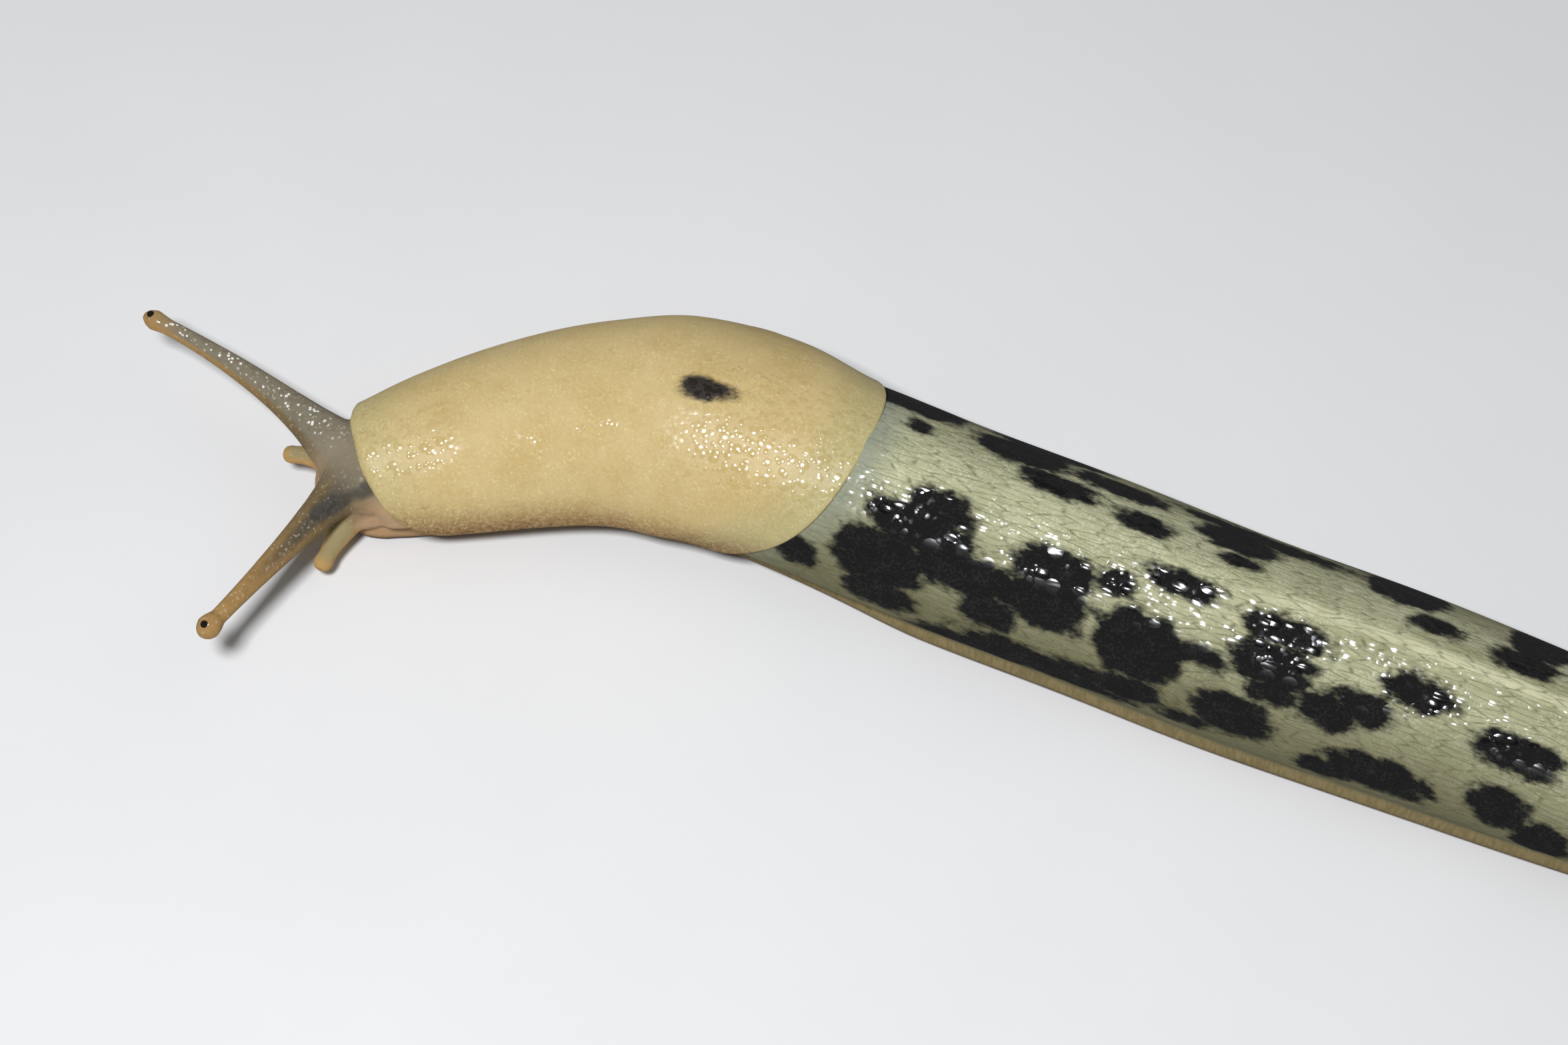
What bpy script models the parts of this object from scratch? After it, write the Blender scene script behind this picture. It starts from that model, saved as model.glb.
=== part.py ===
"""A banana slug at life size, crawling, with its head turned to its left and its tentacles out.

The frame has +Z up and the floor at z = 0. The body runs along X, head at -X and tail at +X, so the
animal's right side is at +Y. Distances along the body are measured from the snout, on the ground
under the back's midline. Sizes are in metres, written as millimetres times MM.
"""

import math

import bmesh
import bpy
from mathutils import Matrix, Vector

MM = 0.001
GAP = 0.3 * MM

# The line the body lies along
BODY_LENGTH = 146 * MM
SPINE_STEP = 0.5 * MM
FRAME_TURN = 17.5
TURNS = (
    (0, 13), (6, 13.8), (12, 13.8), (18, 9.2), (25, -4), (34, -22), (44, -25), (54, -22), (66, -25),
    (78, -21.5), (90, -23.5), (104, -23), (125, -17), (146, -9),
)

# The body without its mantle: distance from the snout, then the size there, in millimetres
BODY_HALF_WIDTHS = (
    (0, 3.1), (4, 4.5), (8, 5.3), (12, 5.9), (18, 6.5), (23, 7.0), (28, 7.7), (33, 7.9), (37, 8.2),
    (44, 8.3),
    (50, 8.25), (60, 8.2), (80, 8.15), (96, 7.7), (110, 6.7), (122, 5.3), (133, 3.6), (141, 2.1),
    (144.2, 1.4), (145.5, 0.9), (146, 0.4),
)
BODY_HEIGHTS = (
    (0, 6.0), (4, 7.1), (8, 8.2), (12, 9.2), (18, 10.2), (23, 11.0), (28, 11.8), (33, 12.1), (37, 12.3),
    (44, 12.2), (60, 12.0), (80, 11.8), (96, 11.3), (110, 10.0), (122, 8.2), (133, 6.0), (141, 4.4),
    (144.2, 3.6), (145.5, 3.0), (146, 2.4),
)
FOOT_HALF_WIDTHS = (
    (1.8, 1.3), (2.0, 2.1), (2.4, 2.8), (3.2, 3.5), (5, 4.1), (8, 4.6), (14, 5.3), (18, 5.6), (24, 6.1),
    (28, 6.45),
    (34, 6.7), (38, 6.85), (44, 7.2), (50, 7.75), (60, 7.95), (80, 7.9), (96, 7.45), (110, 6.5), (122, 5.2),
    (133, 3.6), (141, 2.25), (144.5, 1.55), (146.2, 1.0), (147, 0.4),
)
KEEL_SHARES = ((0, 0.0), (42, 0.15), (60, 0.3), (90, 0.5), (146, 0.75))
WAIST_SHARE = 0.235
ROOF_POWER = 1.15

# The foot, with the fringe that runs all round it
FOOT_TOP = 1.7 * MM
RIM_HEIGHT = 0.9 * MM
SOLE_INSET = 1.0 * MM
RIM_OUT = 0.4 * MM
FOOT_START = 1.8 * MM
FOOT_END = 147 * MM

# The mantle, a shield that hangs over the neck and the front of the trunk
MANTLE_HALF_WIDTHS = (
    (2, 4.9), (4, 5.36), (8, 6.28), (12.5, 7.0), (18, 7.65), (23, 8.2), (28, 8.9), (33, 9.0), (38, 8.75),
    (44, 8.5),
)
MANTLE_HEIGHTS = (
    (2, 8.0), (4, 8.6), (8, 9.8), (12.5, 10.8), (18, 11.6), (23, 12.3), (28, 13.0), (33, 13.1), (38, 12.85),
    (44, 12.45),
)
MANTLE_FRONT = 4.0 * MM
MANTLE_BACK = 42.4 * MM
MANTLE_HANG = 112
SKIRT_DROP_SHARE = 0.28
MANTLE_THICKNESS = 1.5 * MM
FRONT_LIP = 1.1 * MM
BACK_LIP = 0.5 * MM
LIP_SHARE = 0.22
EDGE_ROUND_SHARE = 0.35
MANTLE_REACH = 12 * MM
FRONT_ROUNDING = 0.6
BACK_ROUNDING = 0.9
MANTLE_ROWS = 28
MANTLE_COLUMNS = 26

# The breathing hole, in the mantle's right edge
BREATHING_HOLE = (31.5 * MM, 80)
BREATHING_HOLE_RADII = (1.3 * MM, 2.4 * MM, 0.85 * MM)
BREATHING_SLIT_RADII = (0.3 * MM, 2.4 * MM, 3.2 * MM)
BREATHING_SLIT_DROP = 2.6 * MM

# Where the lengths of the body and of the foot end
HEAD_END = 8 * MM
LENGTHS = {
    "neck": (8 * MM, 16 * MM),
    "trunk_front": (16 * MM, 46 * MM),
    "trunk_middle": (46 * MM, 76 * MM),
    "trunk_rear": (76 * MM, 108 * MM),
    "tail": (108 * MM, 146 * MM),
}
UNDER_THE_MANTLE = ("neck", "trunk_front")
FOOT_LENGTHS = {
    "foot_front": (FOOT_START, 46 * MM),
    "foot_middle": (46 * MM, 100 * MM),
    "foot_rear": (100 * MM, FOOT_END),
}
TRUNK_SIDES = 36
RING_SPACING = 2.6 * MM
TIP_GAPS = (0, 0.2 * MM, 0.7 * MM)
TIP_REACH = 1.6 * MM
TIP_TOP_SHARE = 0.35


def ease(t):
    """0 to 1 with level ends."""
    t = min(1.0, max(0.0, t))
    return t * t * (3 - 2 * t)


def through(keys, x):
    """A smooth curve through (x, value) pairs that never overshoots them."""
    if x <= keys[0][0]:
        return keys[0][1]
    if x >= keys[-1][0]:
        return keys[-1][1]
    slopes = [(b[1] - a[1]) / (b[0] - a[0]) for a, b in zip(keys, keys[1:])]
    i = next(k for k in range(len(keys) - 1) if x <= keys[k + 1][0])

    def tangent(k):
        if k == 0:
            return slopes[0]
        if k == len(keys) - 1:
            return slopes[-1]
        if slopes[k - 1] * slopes[k] <= 0:
            return 0.0
        return 2 * slopes[k - 1] * slopes[k] / (slopes[k - 1] + slopes[k])

    (x0, y0), (x1, y1) = keys[i], keys[i + 1]
    width = x1 - x0
    t = (x - x0) / width
    return (
        y0 * (2 * t**3 - 3 * t**2 + 1)
        + y1 * (3 * t**2 - 2 * t**3)
        + width * tangent(i) * (t**3 - 2 * t**2 + t)
        + width * tangent(i + 1) * (t**3 - t**2)
    )


def size_at(keys, s):
    return through(keys, s / MM) * MM


def heading(s):
    """The way from head to tail at a distance along the body, in radians from +X."""
    return math.radians(through(TURNS, s / MM) + FRAME_TURN)


def walk_spine():
    """Points on the ground under the back's midline, SPINE_STEP apart."""
    points = [Vector((0, 0, 0))]
    for i in range(round(BODY_LENGTH / SPINE_STEP)):
        angle = heading((i + 0.5) * SPINE_STEP)
        points.append(points[-1] + SPINE_STEP * Vector((math.cos(angle), math.sin(angle), 0)))
    return points


SPINE = walk_spine()


def place(s, side, z):
    """The point at distance s along the body, side to the animal's right and z up."""
    at = min(max(s / SPINE_STEP, 0), len(SPINE) - 1.001)
    i = int(at)
    ground = SPINE[i].lerp(SPINE[i + 1], at - i)
    angle = heading(s)
    back = Vector((math.cos(angle), math.sin(angle), 0))
    ground = ground + (s - at * SPINE_STEP) * back
    return ground + side * Vector((-back.y, back.x, 0)) + Vector((0, 0, z))


def waist_of(height):
    """The height at which the body is widest."""
    return FOOT_TOP + GAP + WAIST_SHARE * (height - FOOT_TOP - GAP)


def over_the_back(half_width, height, keel, angle):
    """(side, z) of the outline from one waist over the crest to the other, at an angle from the crest."""
    waist = waist_of(height)
    dome = math.cos(angle)
    roof = 1 - abs(math.sin(angle)) ** ROOF_POWER
    return half_width * math.sin(angle), waist + (height - waist) * ((1 - keel) * dome + keel * roof)


def body_ring(s):
    """The body's section at s, from the left furrow over the crest to the right one."""
    half_width = size_at(BODY_HALF_WIDTHS, s)
    height = size_at(BODY_HEIGHTS, s)
    keel = through(KEEL_SHARES, s / MM)
    waist = waist_of(height)
    furrow = min(size_at(FOOT_HALF_WIDTHS, s) - RIM_OUT, 0.97 * half_width)
    last = math.pi - math.asin(furrow / half_width)
    drop = (waist - FOOT_TOP - GAP) / -math.cos(last)
    ring = []
    for i in range(TRUNK_SIDES + 1):
        angle = last * (2 * i / TRUNK_SIDES - 1)
        side, z = over_the_back(half_width, height, keel, angle)
        if abs(angle) > math.pi / 2:
            z = waist + drop * math.cos(angle)
        ring.append(place(s, side, z))
    return ring


def foot_ring(s, grow=0.0):
    """The foot's section at s: its sole, its rounded rim, and the flat top that carries the body."""
    reach = size_at(FOOT_HALF_WIDTHS, s) + grow
    inset = min(SOLE_INSET, 0.45 * reach)
    full = ease(min(s - FOOT_START, FOOT_END - s) / TIP_REACH)
    top = RIM_HEIGHT + (FOOT_TOP - RIM_HEIGHT) * (TIP_TOP_SHARE + (1 - TIP_TOP_SHARE) * full)
    profile = (
        (reach - inset, -grow),
        (reach - 0.35 * inset, 0.25 * RIM_HEIGHT),
        (reach, RIM_HEIGHT),
        (reach - 0.12 * inset, 0.7 * top + 0.3 * RIM_HEIGHT + grow),
        (reach - 0.5 * inset, top + grow),
    )
    left = [place(s, -side, z) for side, z in profile]
    right = [place(s, side, z) for side, z in reversed(profile)]
    return left + right


def stations(start, end, spacing=RING_SPACING):
    count = max(2, round((end - start) / spacing))
    return [start + (end - start) * i / count for i in range(count + 1)]


def rounded_stations(start, end):
    """Stations that crowd together towards the snout and the tail's tip, so that these ends are round."""
    before, after = [], []
    if start < HEAD_END:
        before = [start + gap for gap in TIP_GAPS]
        start += TIP_REACH
    if end > BODY_LENGTH - HEAD_END:
        after = [end - gap for gap in reversed(TIP_GAPS)]
        end -= TIP_REACH
    return before + stations(start, end) + after


def new_object(name, points, faces):
    mesh = bpy.data.meshes.new(name)
    mesh.from_pydata(points, [], faces)
    bm = bmesh.new()
    bm.from_mesh(mesh)
    bmesh.ops.recalc_face_normals(bm, faces=bm.faces)
    bm.to_mesh(mesh)
    bm.free()
    obj = bpy.data.objects.new(name, mesh)
    bpy.context.scene.collection.objects.link(obj)
    return obj


def loft(name, rings):
    """A closed solid through rings of equal count, capped flat at both ends."""
    count = len(rings[0])
    points = [p for ring in rings for p in ring]
    faces = [list(range(count)), list(range(len(points) - count, len(points)))]
    for k in range(len(rings) - 1):
        for i in range(count):
            j = (i + 1) % count
            faces.append((k * count + i, k * count + j, (k + 1) * count + j, (k + 1) * count + i))
    return new_object(name, points, faces)


def tube(name, points, radii, sides=14):
    """A round rod along points, with its own radius at each."""
    rings = []
    side = Vector((0, 0, 1))
    for i, (point, radius) in enumerate(zip(points, radii)):
        before, after = points[max(i - 1, 0)], points[min(i + 1, len(points) - 1)]
        way = (after - before).normalized()
        side = (side - side.dot(way) * way).normalized()
        other = way.cross(side)
        turns = (2 * math.pi * k / sides for k in range(sides))
        rings.append([point + radius * (math.cos(a) * side + math.sin(a) * other) for a in turns])
    return loft(name, rings)


def ellipsoid(name, s, side, z, radii, tilt=0.0):
    """An ellipsoid with radii along the body, across it and up, its front tilted down by tilt degrees."""
    bm = bmesh.new()
    bmesh.ops.create_icosphere(bm, subdivisions=3, radius=1.0)
    turn = Matrix.Rotation(heading(s), 4, "Z") @ Matrix.Rotation(math.radians(-tilt), 4, "Y")
    shape = Matrix.Translation(place(s, side, z)) @ turn @ Matrix.Diagonal((*radii, 1))
    bmesh.ops.transform(bm, matrix=shape, verts=bm.verts)
    mesh = bpy.data.meshes.new(name)
    bm.to_mesh(mesh)
    bm.free()
    obj = bpy.data.objects.new(name, mesh)
    bpy.context.scene.collection.objects.link(obj)
    return obj


def slab(name, centre, way, size, depth):
    """A box whose front face is square to way and passes through centre; it reaches depth beyond."""
    bm = bmesh.new()
    bmesh.ops.create_cube(bm, size=1.0)
    turn = way.to_track_quat("Z", "Y").to_matrix().to_4x4()
    shape = Matrix.Translation(centre + 0.5 * depth * way) @ turn @ Matrix.Diagonal((size, size, depth, 1))
    bmesh.ops.transform(bm, matrix=shape, verts=bm.verts)
    mesh = bpy.data.meshes.new(name)
    bm.to_mesh(mesh)
    bm.free()
    obj = bpy.data.objects.new(name, mesh)
    bpy.context.scene.collection.objects.link(obj)
    return obj


def apply_modifiers(obj):
    graph = bpy.context.evaluated_depsgraph_get()
    mesh = bpy.data.meshes.new_from_object(obj.evaluated_get(graph))
    obj.modifiers.clear()
    old = obj.data
    obj.data = mesh
    bpy.data.meshes.remove(old)


def boolean(obj, others, operation, solver="MANIFOLD"):
    """Joins the others to obj, or cuts them away, in one go, and removes them."""
    group = bpy.data.collections.new("operands")
    for other in others:
        group.objects.link(other)
    modifier = obj.modifiers.new(operation.title(), "BOOLEAN")
    modifier.operation = operation
    modifier.solver = solver
    modifier.operand_type = "COLLECTION"
    modifier.collection = group
    apply_modifiers(obj)
    for other in others:
        bpy.data.objects.remove(other)
    bpy.data.collections.remove(group)
    keep_largest_body(obj)


def keep_largest_body(obj):
    """Drops every closed surface but the largest."""
    bm = bmesh.new()
    bm.from_mesh(obj.data)
    left = set(bm.faces)
    bodies = []
    while left:
        body, edge = set(), [next(iter(left))]
        while edge:
            face = edge.pop()
            if face in body:
                continue
            body.add(face)
            edge += [f for e in face.edges for f in e.link_faces if f not in body]
        bodies.append(body)
        left -= body
    largest = max(bodies, key=lambda body: sum(f.calc_area() for f in body))
    bmesh.ops.delete(bm, geom=[f for f in bm.faces if f not in largest], context="FACES")
    bm.to_mesh(obj.data)
    bm.free()


def blend(obj, voxel, rounds, triangles):
    """Remeshes a joined shape, smooths its inner corners and thins it to about so many triangles."""
    remesh = obj.modifiers.new("Remesh", "REMESH")
    remesh.mode = "VOXEL"
    remesh.voxel_size = voxel
    smooth = obj.modifiers.new("Smooth", "SMOOTH")
    smooth.factor = 0.5
    smooth.iterations = rounds
    apply_modifiers(obj)
    now = sum(len(f.vertices) - 2 for f in obj.data.polygons)
    decimate = obj.modifiers.new("Decimate", "DECIMATE")
    decimate.ratio = min(1.0, triangles / now)
    apply_modifiers(obj)


# The tentacles: where each leaves the head, the way it points out from the head's own way and up, its
# bend in degrees outward, and its length

UPPER_TENTACLES = {
    "left": {"root": (3.2 * MM, -0.6 * MM, 5.0 * MM), "out": 43, "rise": 9, "bend": 10, "length": 18.5 * MM},
    "right": {
        "root": (3.2 * MM, 0.35 * MM, 5.15 * MM), "out": 49, "rise": 6, "bend": -20, "length": 20.2 * MM,
    },
}
UPPER_RADII = {
    "left": ((0, 1.9), (1.8, 1.75), (3.2, 1.5), (5, 1.22), (7.5, 0.97), (10, 0.78), (13, 0.66), (16, 0.6)),
    "right": ((0, 2.3), (2.2, 2.1), (3.7, 1.75), (5.5, 1.4), (8, 1.1), (11.5, 0.86), (15, 0.68), (18, 0.6)),
}
BULB_LENGTH = 2.0 * MM
BULB_RADII = {"left": 0.92 * MM, "right": 0.78 * MM}
LOWER_TENTACLES = {
    "left": {
        "root": (2.0 * MM, -2.75 * MM, 2.9 * MM), "out": 50, "rise": -14, "bend": 0, "length": 4.6 * MM,
    },
    "right": {
        "root": (1.8 * MM, 2.0 * MM, 3.4 * MM), "out": 24, "rise": -8, "bend": 0, "length": 4.5 * MM,
    },
}
LOWER_RADII = ((0, 1.0), (1.4, 0.82), (2.6, 0.62), (4.0, 0.56), (4.6, 0.56))
LOWER_TIP_RADIUS = 0.68 * MM
UPPER_CUT = 3.7 * MM
LOWER_CUT = 1.7 * MM
SIGNS = {"left": -1, "right": 1}

# The eyes, black beads let into the outer face of the bulbs
EYE_RADIUS = 0.3 * MM
EYE_GAP = 0.12 * MM
EYE_FROM_TIP = 0.95 * MM
EYE_LIFT = 62


def arm_points(arm, sign, count):
    """Evenly spaced points along a tentacle; sign is -1 on the left and 1 on the right."""
    point = place(*arm["root"])
    step = arm["length"] / (count - 1)
    ahead = heading(0.0) + math.pi
    points = [point]
    for i in range(count - 1):
        out = arm["out"] + arm["bend"] * ((i + 0.5) / (count - 1) - 0.5)
        flat = ahead - sign * math.radians(out)
        rise = math.radians(arm["rise"])
        way = Vector((math.cos(rise) * math.cos(flat), math.cos(rise) * math.sin(flat), math.sin(rise)))
        point = point + step * way
        points.append(point)
    return points


def along(points, distance):
    """The point at a distance along evenly spaced points, and the way there."""
    step = (points[1] - points[0]).length
    at = min(distance / step, len(points) - 1.001)
    i = int(at)
    return points[i].lerp(points[i + 1], at - i), (points[i + 1] - points[i]).normalized()


def piece_of_arm(name, points, radii, start, end, count):
    """A tube from start to end along the arm, its radius read from the keys."""
    stops = [start + (end - start) * i / (count - 1) for i in range(count)]
    return tube(name, [along(points, t)[0] for t in stops], [size_at(radii, t) for t in stops])


def bulb(name, points, start, length, radius, stalk, steps=8):
    """The rounded tip that carries an eye: it starts at the stalk's radius and swells."""
    centres, radii = [], []
    swell = 0.4
    for i in range(steps + 1):
        t = i / steps
        along_tip = length * (1 - (1 - t) ** 1.6)
        rounding = math.sqrt(max(0.0, 1 - max(0.0, (along_tip / length - swell) / (1 - swell)) ** 2))
        neck = stalk + (radius - stalk) * ease(along_tip / (swell * length))
        centres.append(along(points, start + along_tip)[0])
        radii.append(max(neck * rounding, 0.12 * radius))
    return tube(name, centres, radii, 16)


def ball(name, centre, radius):
    bm = bmesh.new()
    bmesh.ops.create_icosphere(bm, subdivisions=2, radius=radius)
    bmesh.ops.translate(bm, verts=bm.verts, vec=centre)
    mesh = bpy.data.meshes.new(name)
    bm.to_mesh(mesh)
    bm.free()
    obj = bpy.data.objects.new(name, mesh)
    bpy.context.scene.collection.objects.link(obj)
    return obj


def make_head(upper, lower):
    """The head: a low muzzle with an upper lip over two lower ones, and the roots of the four tentacles."""
    back = HEAD_END - GAP / 2
    head = loft("head", [body_ring(s) for s in stations(3.2 * MM, back, 1.2 * MM)])
    shapes = [
        ellipsoid("brow", 4.0 * MM, 0, 4.7 * MM, (3.7 * MM, 4.0 * MM, 2.7 * MM)),
        ellipsoid("muzzle", 2.7 * MM, 0, 3.6 * MM, (2.5 * MM, 2.8 * MM, 2.2 * MM), 12),
        ellipsoid("upper_lip", 1.0 * MM, 0, 3.05 * MM, (1.0 * MM, 1.75 * MM, 0.85 * MM), 20),
        ellipsoid("left_lip", 1.35 * MM, -0.9 * MM, 1.95 * MM, (1.15 * MM, 1.0 * MM, 0.95 * MM)),
        ellipsoid("right_lip", 1.35 * MM, 0.9 * MM, 1.95 * MM, (1.15 * MM, 1.0 * MM, 0.95 * MM)),
    ]
    for side, points in upper.items():
        shapes.append(piece_of_arm("root", points, UPPER_RADII[side], 0, UPPER_CUT + 1.5 * MM, 6))
    for side, points in lower.items():
        shapes.append(piece_of_arm("root", points, LOWER_RADII, 0, LOWER_CUT + 1.0 * MM, 5))
    boolean(head, shapes, "UNION")
    blend(head, 0.25 * MM, 5, 4600)
    cutters = []
    for points, cut in [(p, UPPER_CUT) for p in upper.values()] + [(p, LOWER_CUT) for p in lower.values()]:
        centre, way = along(points, cut - GAP / 2)
        cutters.append(slab("root_cut", centre, way, 4 * MM, 5 * MM))
    wall = Vector((math.cos(heading(back)), math.sin(heading(back)), 0))
    cutters.append(slab("neck_cut", place(back, 0, 6 * MM), wall, 30 * MM, 5 * MM))
    cutters.append(loft("foot_cut", [foot_ring(s, GAP) for s in stations(FOOT_START - GAP, 10 * MM, 1 * MM)]))
    cutters.append(mouth_slit())
    boolean(head, cutters, "DIFFERENCE")
    return head


def mouth_slit():
    """The mouth: a slit bowed under the upper lip, and one down between the two lower lips."""
    across = (-1.6, -1.1, -0.55, 0, 0.55, 1.1, 1.6)
    widths = [0.12 * MM, 0.2 * MM, 0.24 * MM, 0.26 * MM, 0.24 * MM, 0.2 * MM, 0.12 * MM]
    rows = []
    for depth in (-0.1, 0.15, 0.4):
        bow = [place((depth + 0.2 * y * y) * MM, y * MM, (2.5 - 0.14 * y * y) * MM) for y in across]
        rows.append(tube("mouth", bow, widths, 8))
    for depth in (0.1, 0.4, 0.7):
        down = [place(depth * MM, 0, z * MM) for z in (0.5, 1.2, 1.9, 2.5)]
        rows.append(tube("cleft", down, [0.34 * MM, 0.28 * MM, 0.2 * MM, 0.16 * MM], 8))
    slit = rows.pop(0)
    boolean(slit, rows, "UNION")
    return slit


def mantle_point(p, q, depth):
    """A point of the mantle, depth under its face. p is -1 at the front and 1 at the back, q -1 at the left."""
    rounding = FRONT_ROUNDING if p < 0 else BACK_ROUNDING
    forth = p * math.sqrt(1 - rounding * q * q / 2)
    across = q * math.sqrt(1 - rounding * p * p / 2)
    s = (MANTLE_FRONT + MANTLE_BACK) / 2 + forth * (MANTLE_BACK - MANTLE_FRONT) / 2
    half_width = size_at(MANTLE_HALF_WIDTHS, s) - depth
    height = size_at(MANTLE_HEIGHTS, s) - depth
    angle = math.radians(MANTLE_HANG) * across
    side, z = over_the_back(half_width, height, 0.0, angle)
    if abs(angle) > math.pi / 2:
        z = waist_of(height) + SKIRT_DROP_SHARE * height * math.cos(angle)
    return place(s, side, z)


def mantle_rim():
    """The (p, q) places along the mantle's edge, once round."""
    across = [2 * j / MANTLE_COLUMNS - 1 for j in range(MANTLE_COLUMNS)]
    back = [2 * i / MANTLE_ROWS - 1 for i in range(MANTLE_ROWS)]
    front_and_right = [(-1, q) for q in across] + [(p, 1) for p in back]
    return front_and_right + [(1, -q) for q in across] + [(-p, -1) for p in back]


def lip_at(p):
    """How thick the mantle's edge is: full at the front, thin at the back."""
    return FRONT_LIP + (BACK_LIP - FRONT_LIP) * ease(0.5 + p)


def mantle_solid(name, grow=0.0):
    """The shield: an outer and an inner face that draw together at a rounded edge."""
    points, faces = [], []
    rows, columns = MANTLE_ROWS + 1, MANTLE_COLUMNS + 1
    stretch = 1 + grow / MANTLE_REACH
    for inner in (False, True):
        for i in range(rows):
            for j in range(columns):
                p, q = 2 * i / MANTLE_ROWS - 1, 2 * j / MANTLE_COLUMNS - 1
                near_edge = ease((max(abs(p), abs(q)) - 1 + LIP_SHARE) / LIP_SHARE)
                drawn = (MANTLE_THICKNESS - lip_at(p)) * near_edge
                depth = MANTLE_THICKNESS - 0.65 * drawn + grow if inner else 0.35 * drawn - grow
                points.append(mantle_point(p * stretch, q * stretch, depth))
    size = rows * columns
    for i in range(rows - 1):
        for j in range(columns - 1):
            a = i * columns + j
            face = (a, a + 1, a + columns + 1, a + columns)
            faces += [face, tuple(size + k for k in reversed(face))]
    rim = mantle_rim()
    edge = [
        round((p + 1) / 2 * MANTLE_ROWS) * columns + round((q + 1) / 2 * MANTLE_COLUMNS) for p, q in rim
    ]
    loops = [edge]
    for share in (0.25, 0.75):
        start = len(points)
        for p, q in rim:
            lip = lip_at(p)
            out = stretch + EDGE_ROUND_SHARE * lip / MANTLE_REACH
            depth = 0.35 * (MANTLE_THICKNESS - lip) + share * lip + (2 * share - 1) * grow
            points.append(mantle_point(p * out, q * out, depth))
        loops.append(list(range(start, len(points))))
    loops.append([size + k for k in edge])
    for first, second in zip(loops, loops[1:]):
        for k in range(len(rim)):
            j = (k + 1) % len(rim)
            faces.append((first[k], first[j], second[j], second[k]))
    return new_object(name, points, faces)


def breathing_hole():
    """The hole in the mantle's right side, and the slit from it down to the mantle's edge."""
    s, angle = BREATHING_HOLE
    half_width, height = size_at(MANTLE_HALF_WIDTHS, s), size_at(MANTLE_HEIGHTS, s)
    side, z = over_the_back(half_width, height, 0.0, math.radians(angle))
    hole = ellipsoid("hole", s, side, z, BREATHING_HOLE_RADII)
    boolean(hole, [ellipsoid("slit", s, side, z - BREATHING_SLIT_DROP, BREATHING_SLIT_RADII)], "UNION")
    return hole


def make_tentacles(upper, lower):
    for side, points in upper.items():
        radii = UPPER_RADII[side]
        stalk_end = points_length(points) - BULB_LENGTH
        piece_of_arm(f"tentacle_upper_{side}", points, radii, UPPER_CUT + GAP / 2, stalk_end - GAP / 2, 14)
        stalk = size_at(radii, stalk_end)
        radius = BULB_RADII[side]
        tip = bulb(f"bulb_{side}", points, stalk_end + GAP / 2, BULB_LENGTH, radius, stalk)
        centre, way = along(points, points_length(points) - EYE_FROM_TIP)
        up = Vector((0, 0, 1))
        up = (up - up.dot(way) * way).normalized()
        lift = math.radians(EYE_LIFT)
        eye = centre + (radius - 0.45 * EYE_RADIUS) * (math.cos(lift) * way + math.sin(lift) * up)
        boolean(tip, [ball("socket", eye, EYE_RADIUS + EYE_GAP)], "DIFFERENCE")
        ball(f"eye_{side}", eye, EYE_RADIUS)
    for side, points in lower.items():
        length = points_length(points)
        end = length - LOWER_TIP_RADIUS
        rod = piece_of_arm(f"tentacle_lower_{side}", points, LOWER_RADII, LOWER_CUT + GAP / 2, end, 7)
        boolean(rod, [ball("tip", along(points, end)[0], LOWER_TIP_RADIUS)], "UNION")


def points_length(points):
    return sum((b - a).length for a, b in zip(points, points[1:]))


# Each node's colour, in linear light, and its roughness
COLOURS = {
    "head": ((0.30, 0.25, 0.13), 0.35),
    "neck": ((0.38, 0.31, 0.15), 0.35),
    "mantle": ((0.56, 0.42, 0.14), 0.3),
    "trunk": ((0.43, 0.41, 0.19), 0.35),
    "tail": ((0.42, 0.39, 0.19), 0.35),
    "foot": ((0.36, 0.27, 0.13), 0.4),
    "tentacle": ((0.34, 0.26, 0.13), 0.3),
    "bulb": ((0.42, 0.30, 0.14), 0.3),
    "eye": ((0.01, 0.01, 0.012), 0.1),
}
CREASE = 45


def paint(obj):
    """Gives a node its own material."""
    kind = obj.name.split("_")[0]
    colour, roughness = COLOURS[kind]
    material = bpy.data.materials.new(obj.name)
    material.use_nodes = True
    shader = material.node_tree.nodes["Principled BSDF"]
    shader.inputs["Base Color"].default_value = (*colour, 1)
    shader.inputs["Roughness"].default_value = roughness
    shader.inputs["Metallic"].default_value = 0.0
    obj.data.materials.clear()
    obj.data.materials.append(material)
    obj.data.shade_smooth()
    obj.data.set_sharp_from_angle(angle=math.radians(CREASE))


def centre_on_floor():
    """Moves every node so the whole's box stands on z = 0 with its bottom centre at the origin."""
    corners = [v.co for obj in bpy.data.objects for v in obj.data.vertices]
    low = Vector((min(c[k] for c in corners) for k in range(3)))
    high = Vector((max(c[k] for c in corners) for k in range(3)))
    shift = Vector((-(low.x + high.x) / 2, -(low.y + high.y) / 2, -low.z))
    for obj in bpy.data.objects:
        obj.data.transform(Matrix.Translation(shift))


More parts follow.
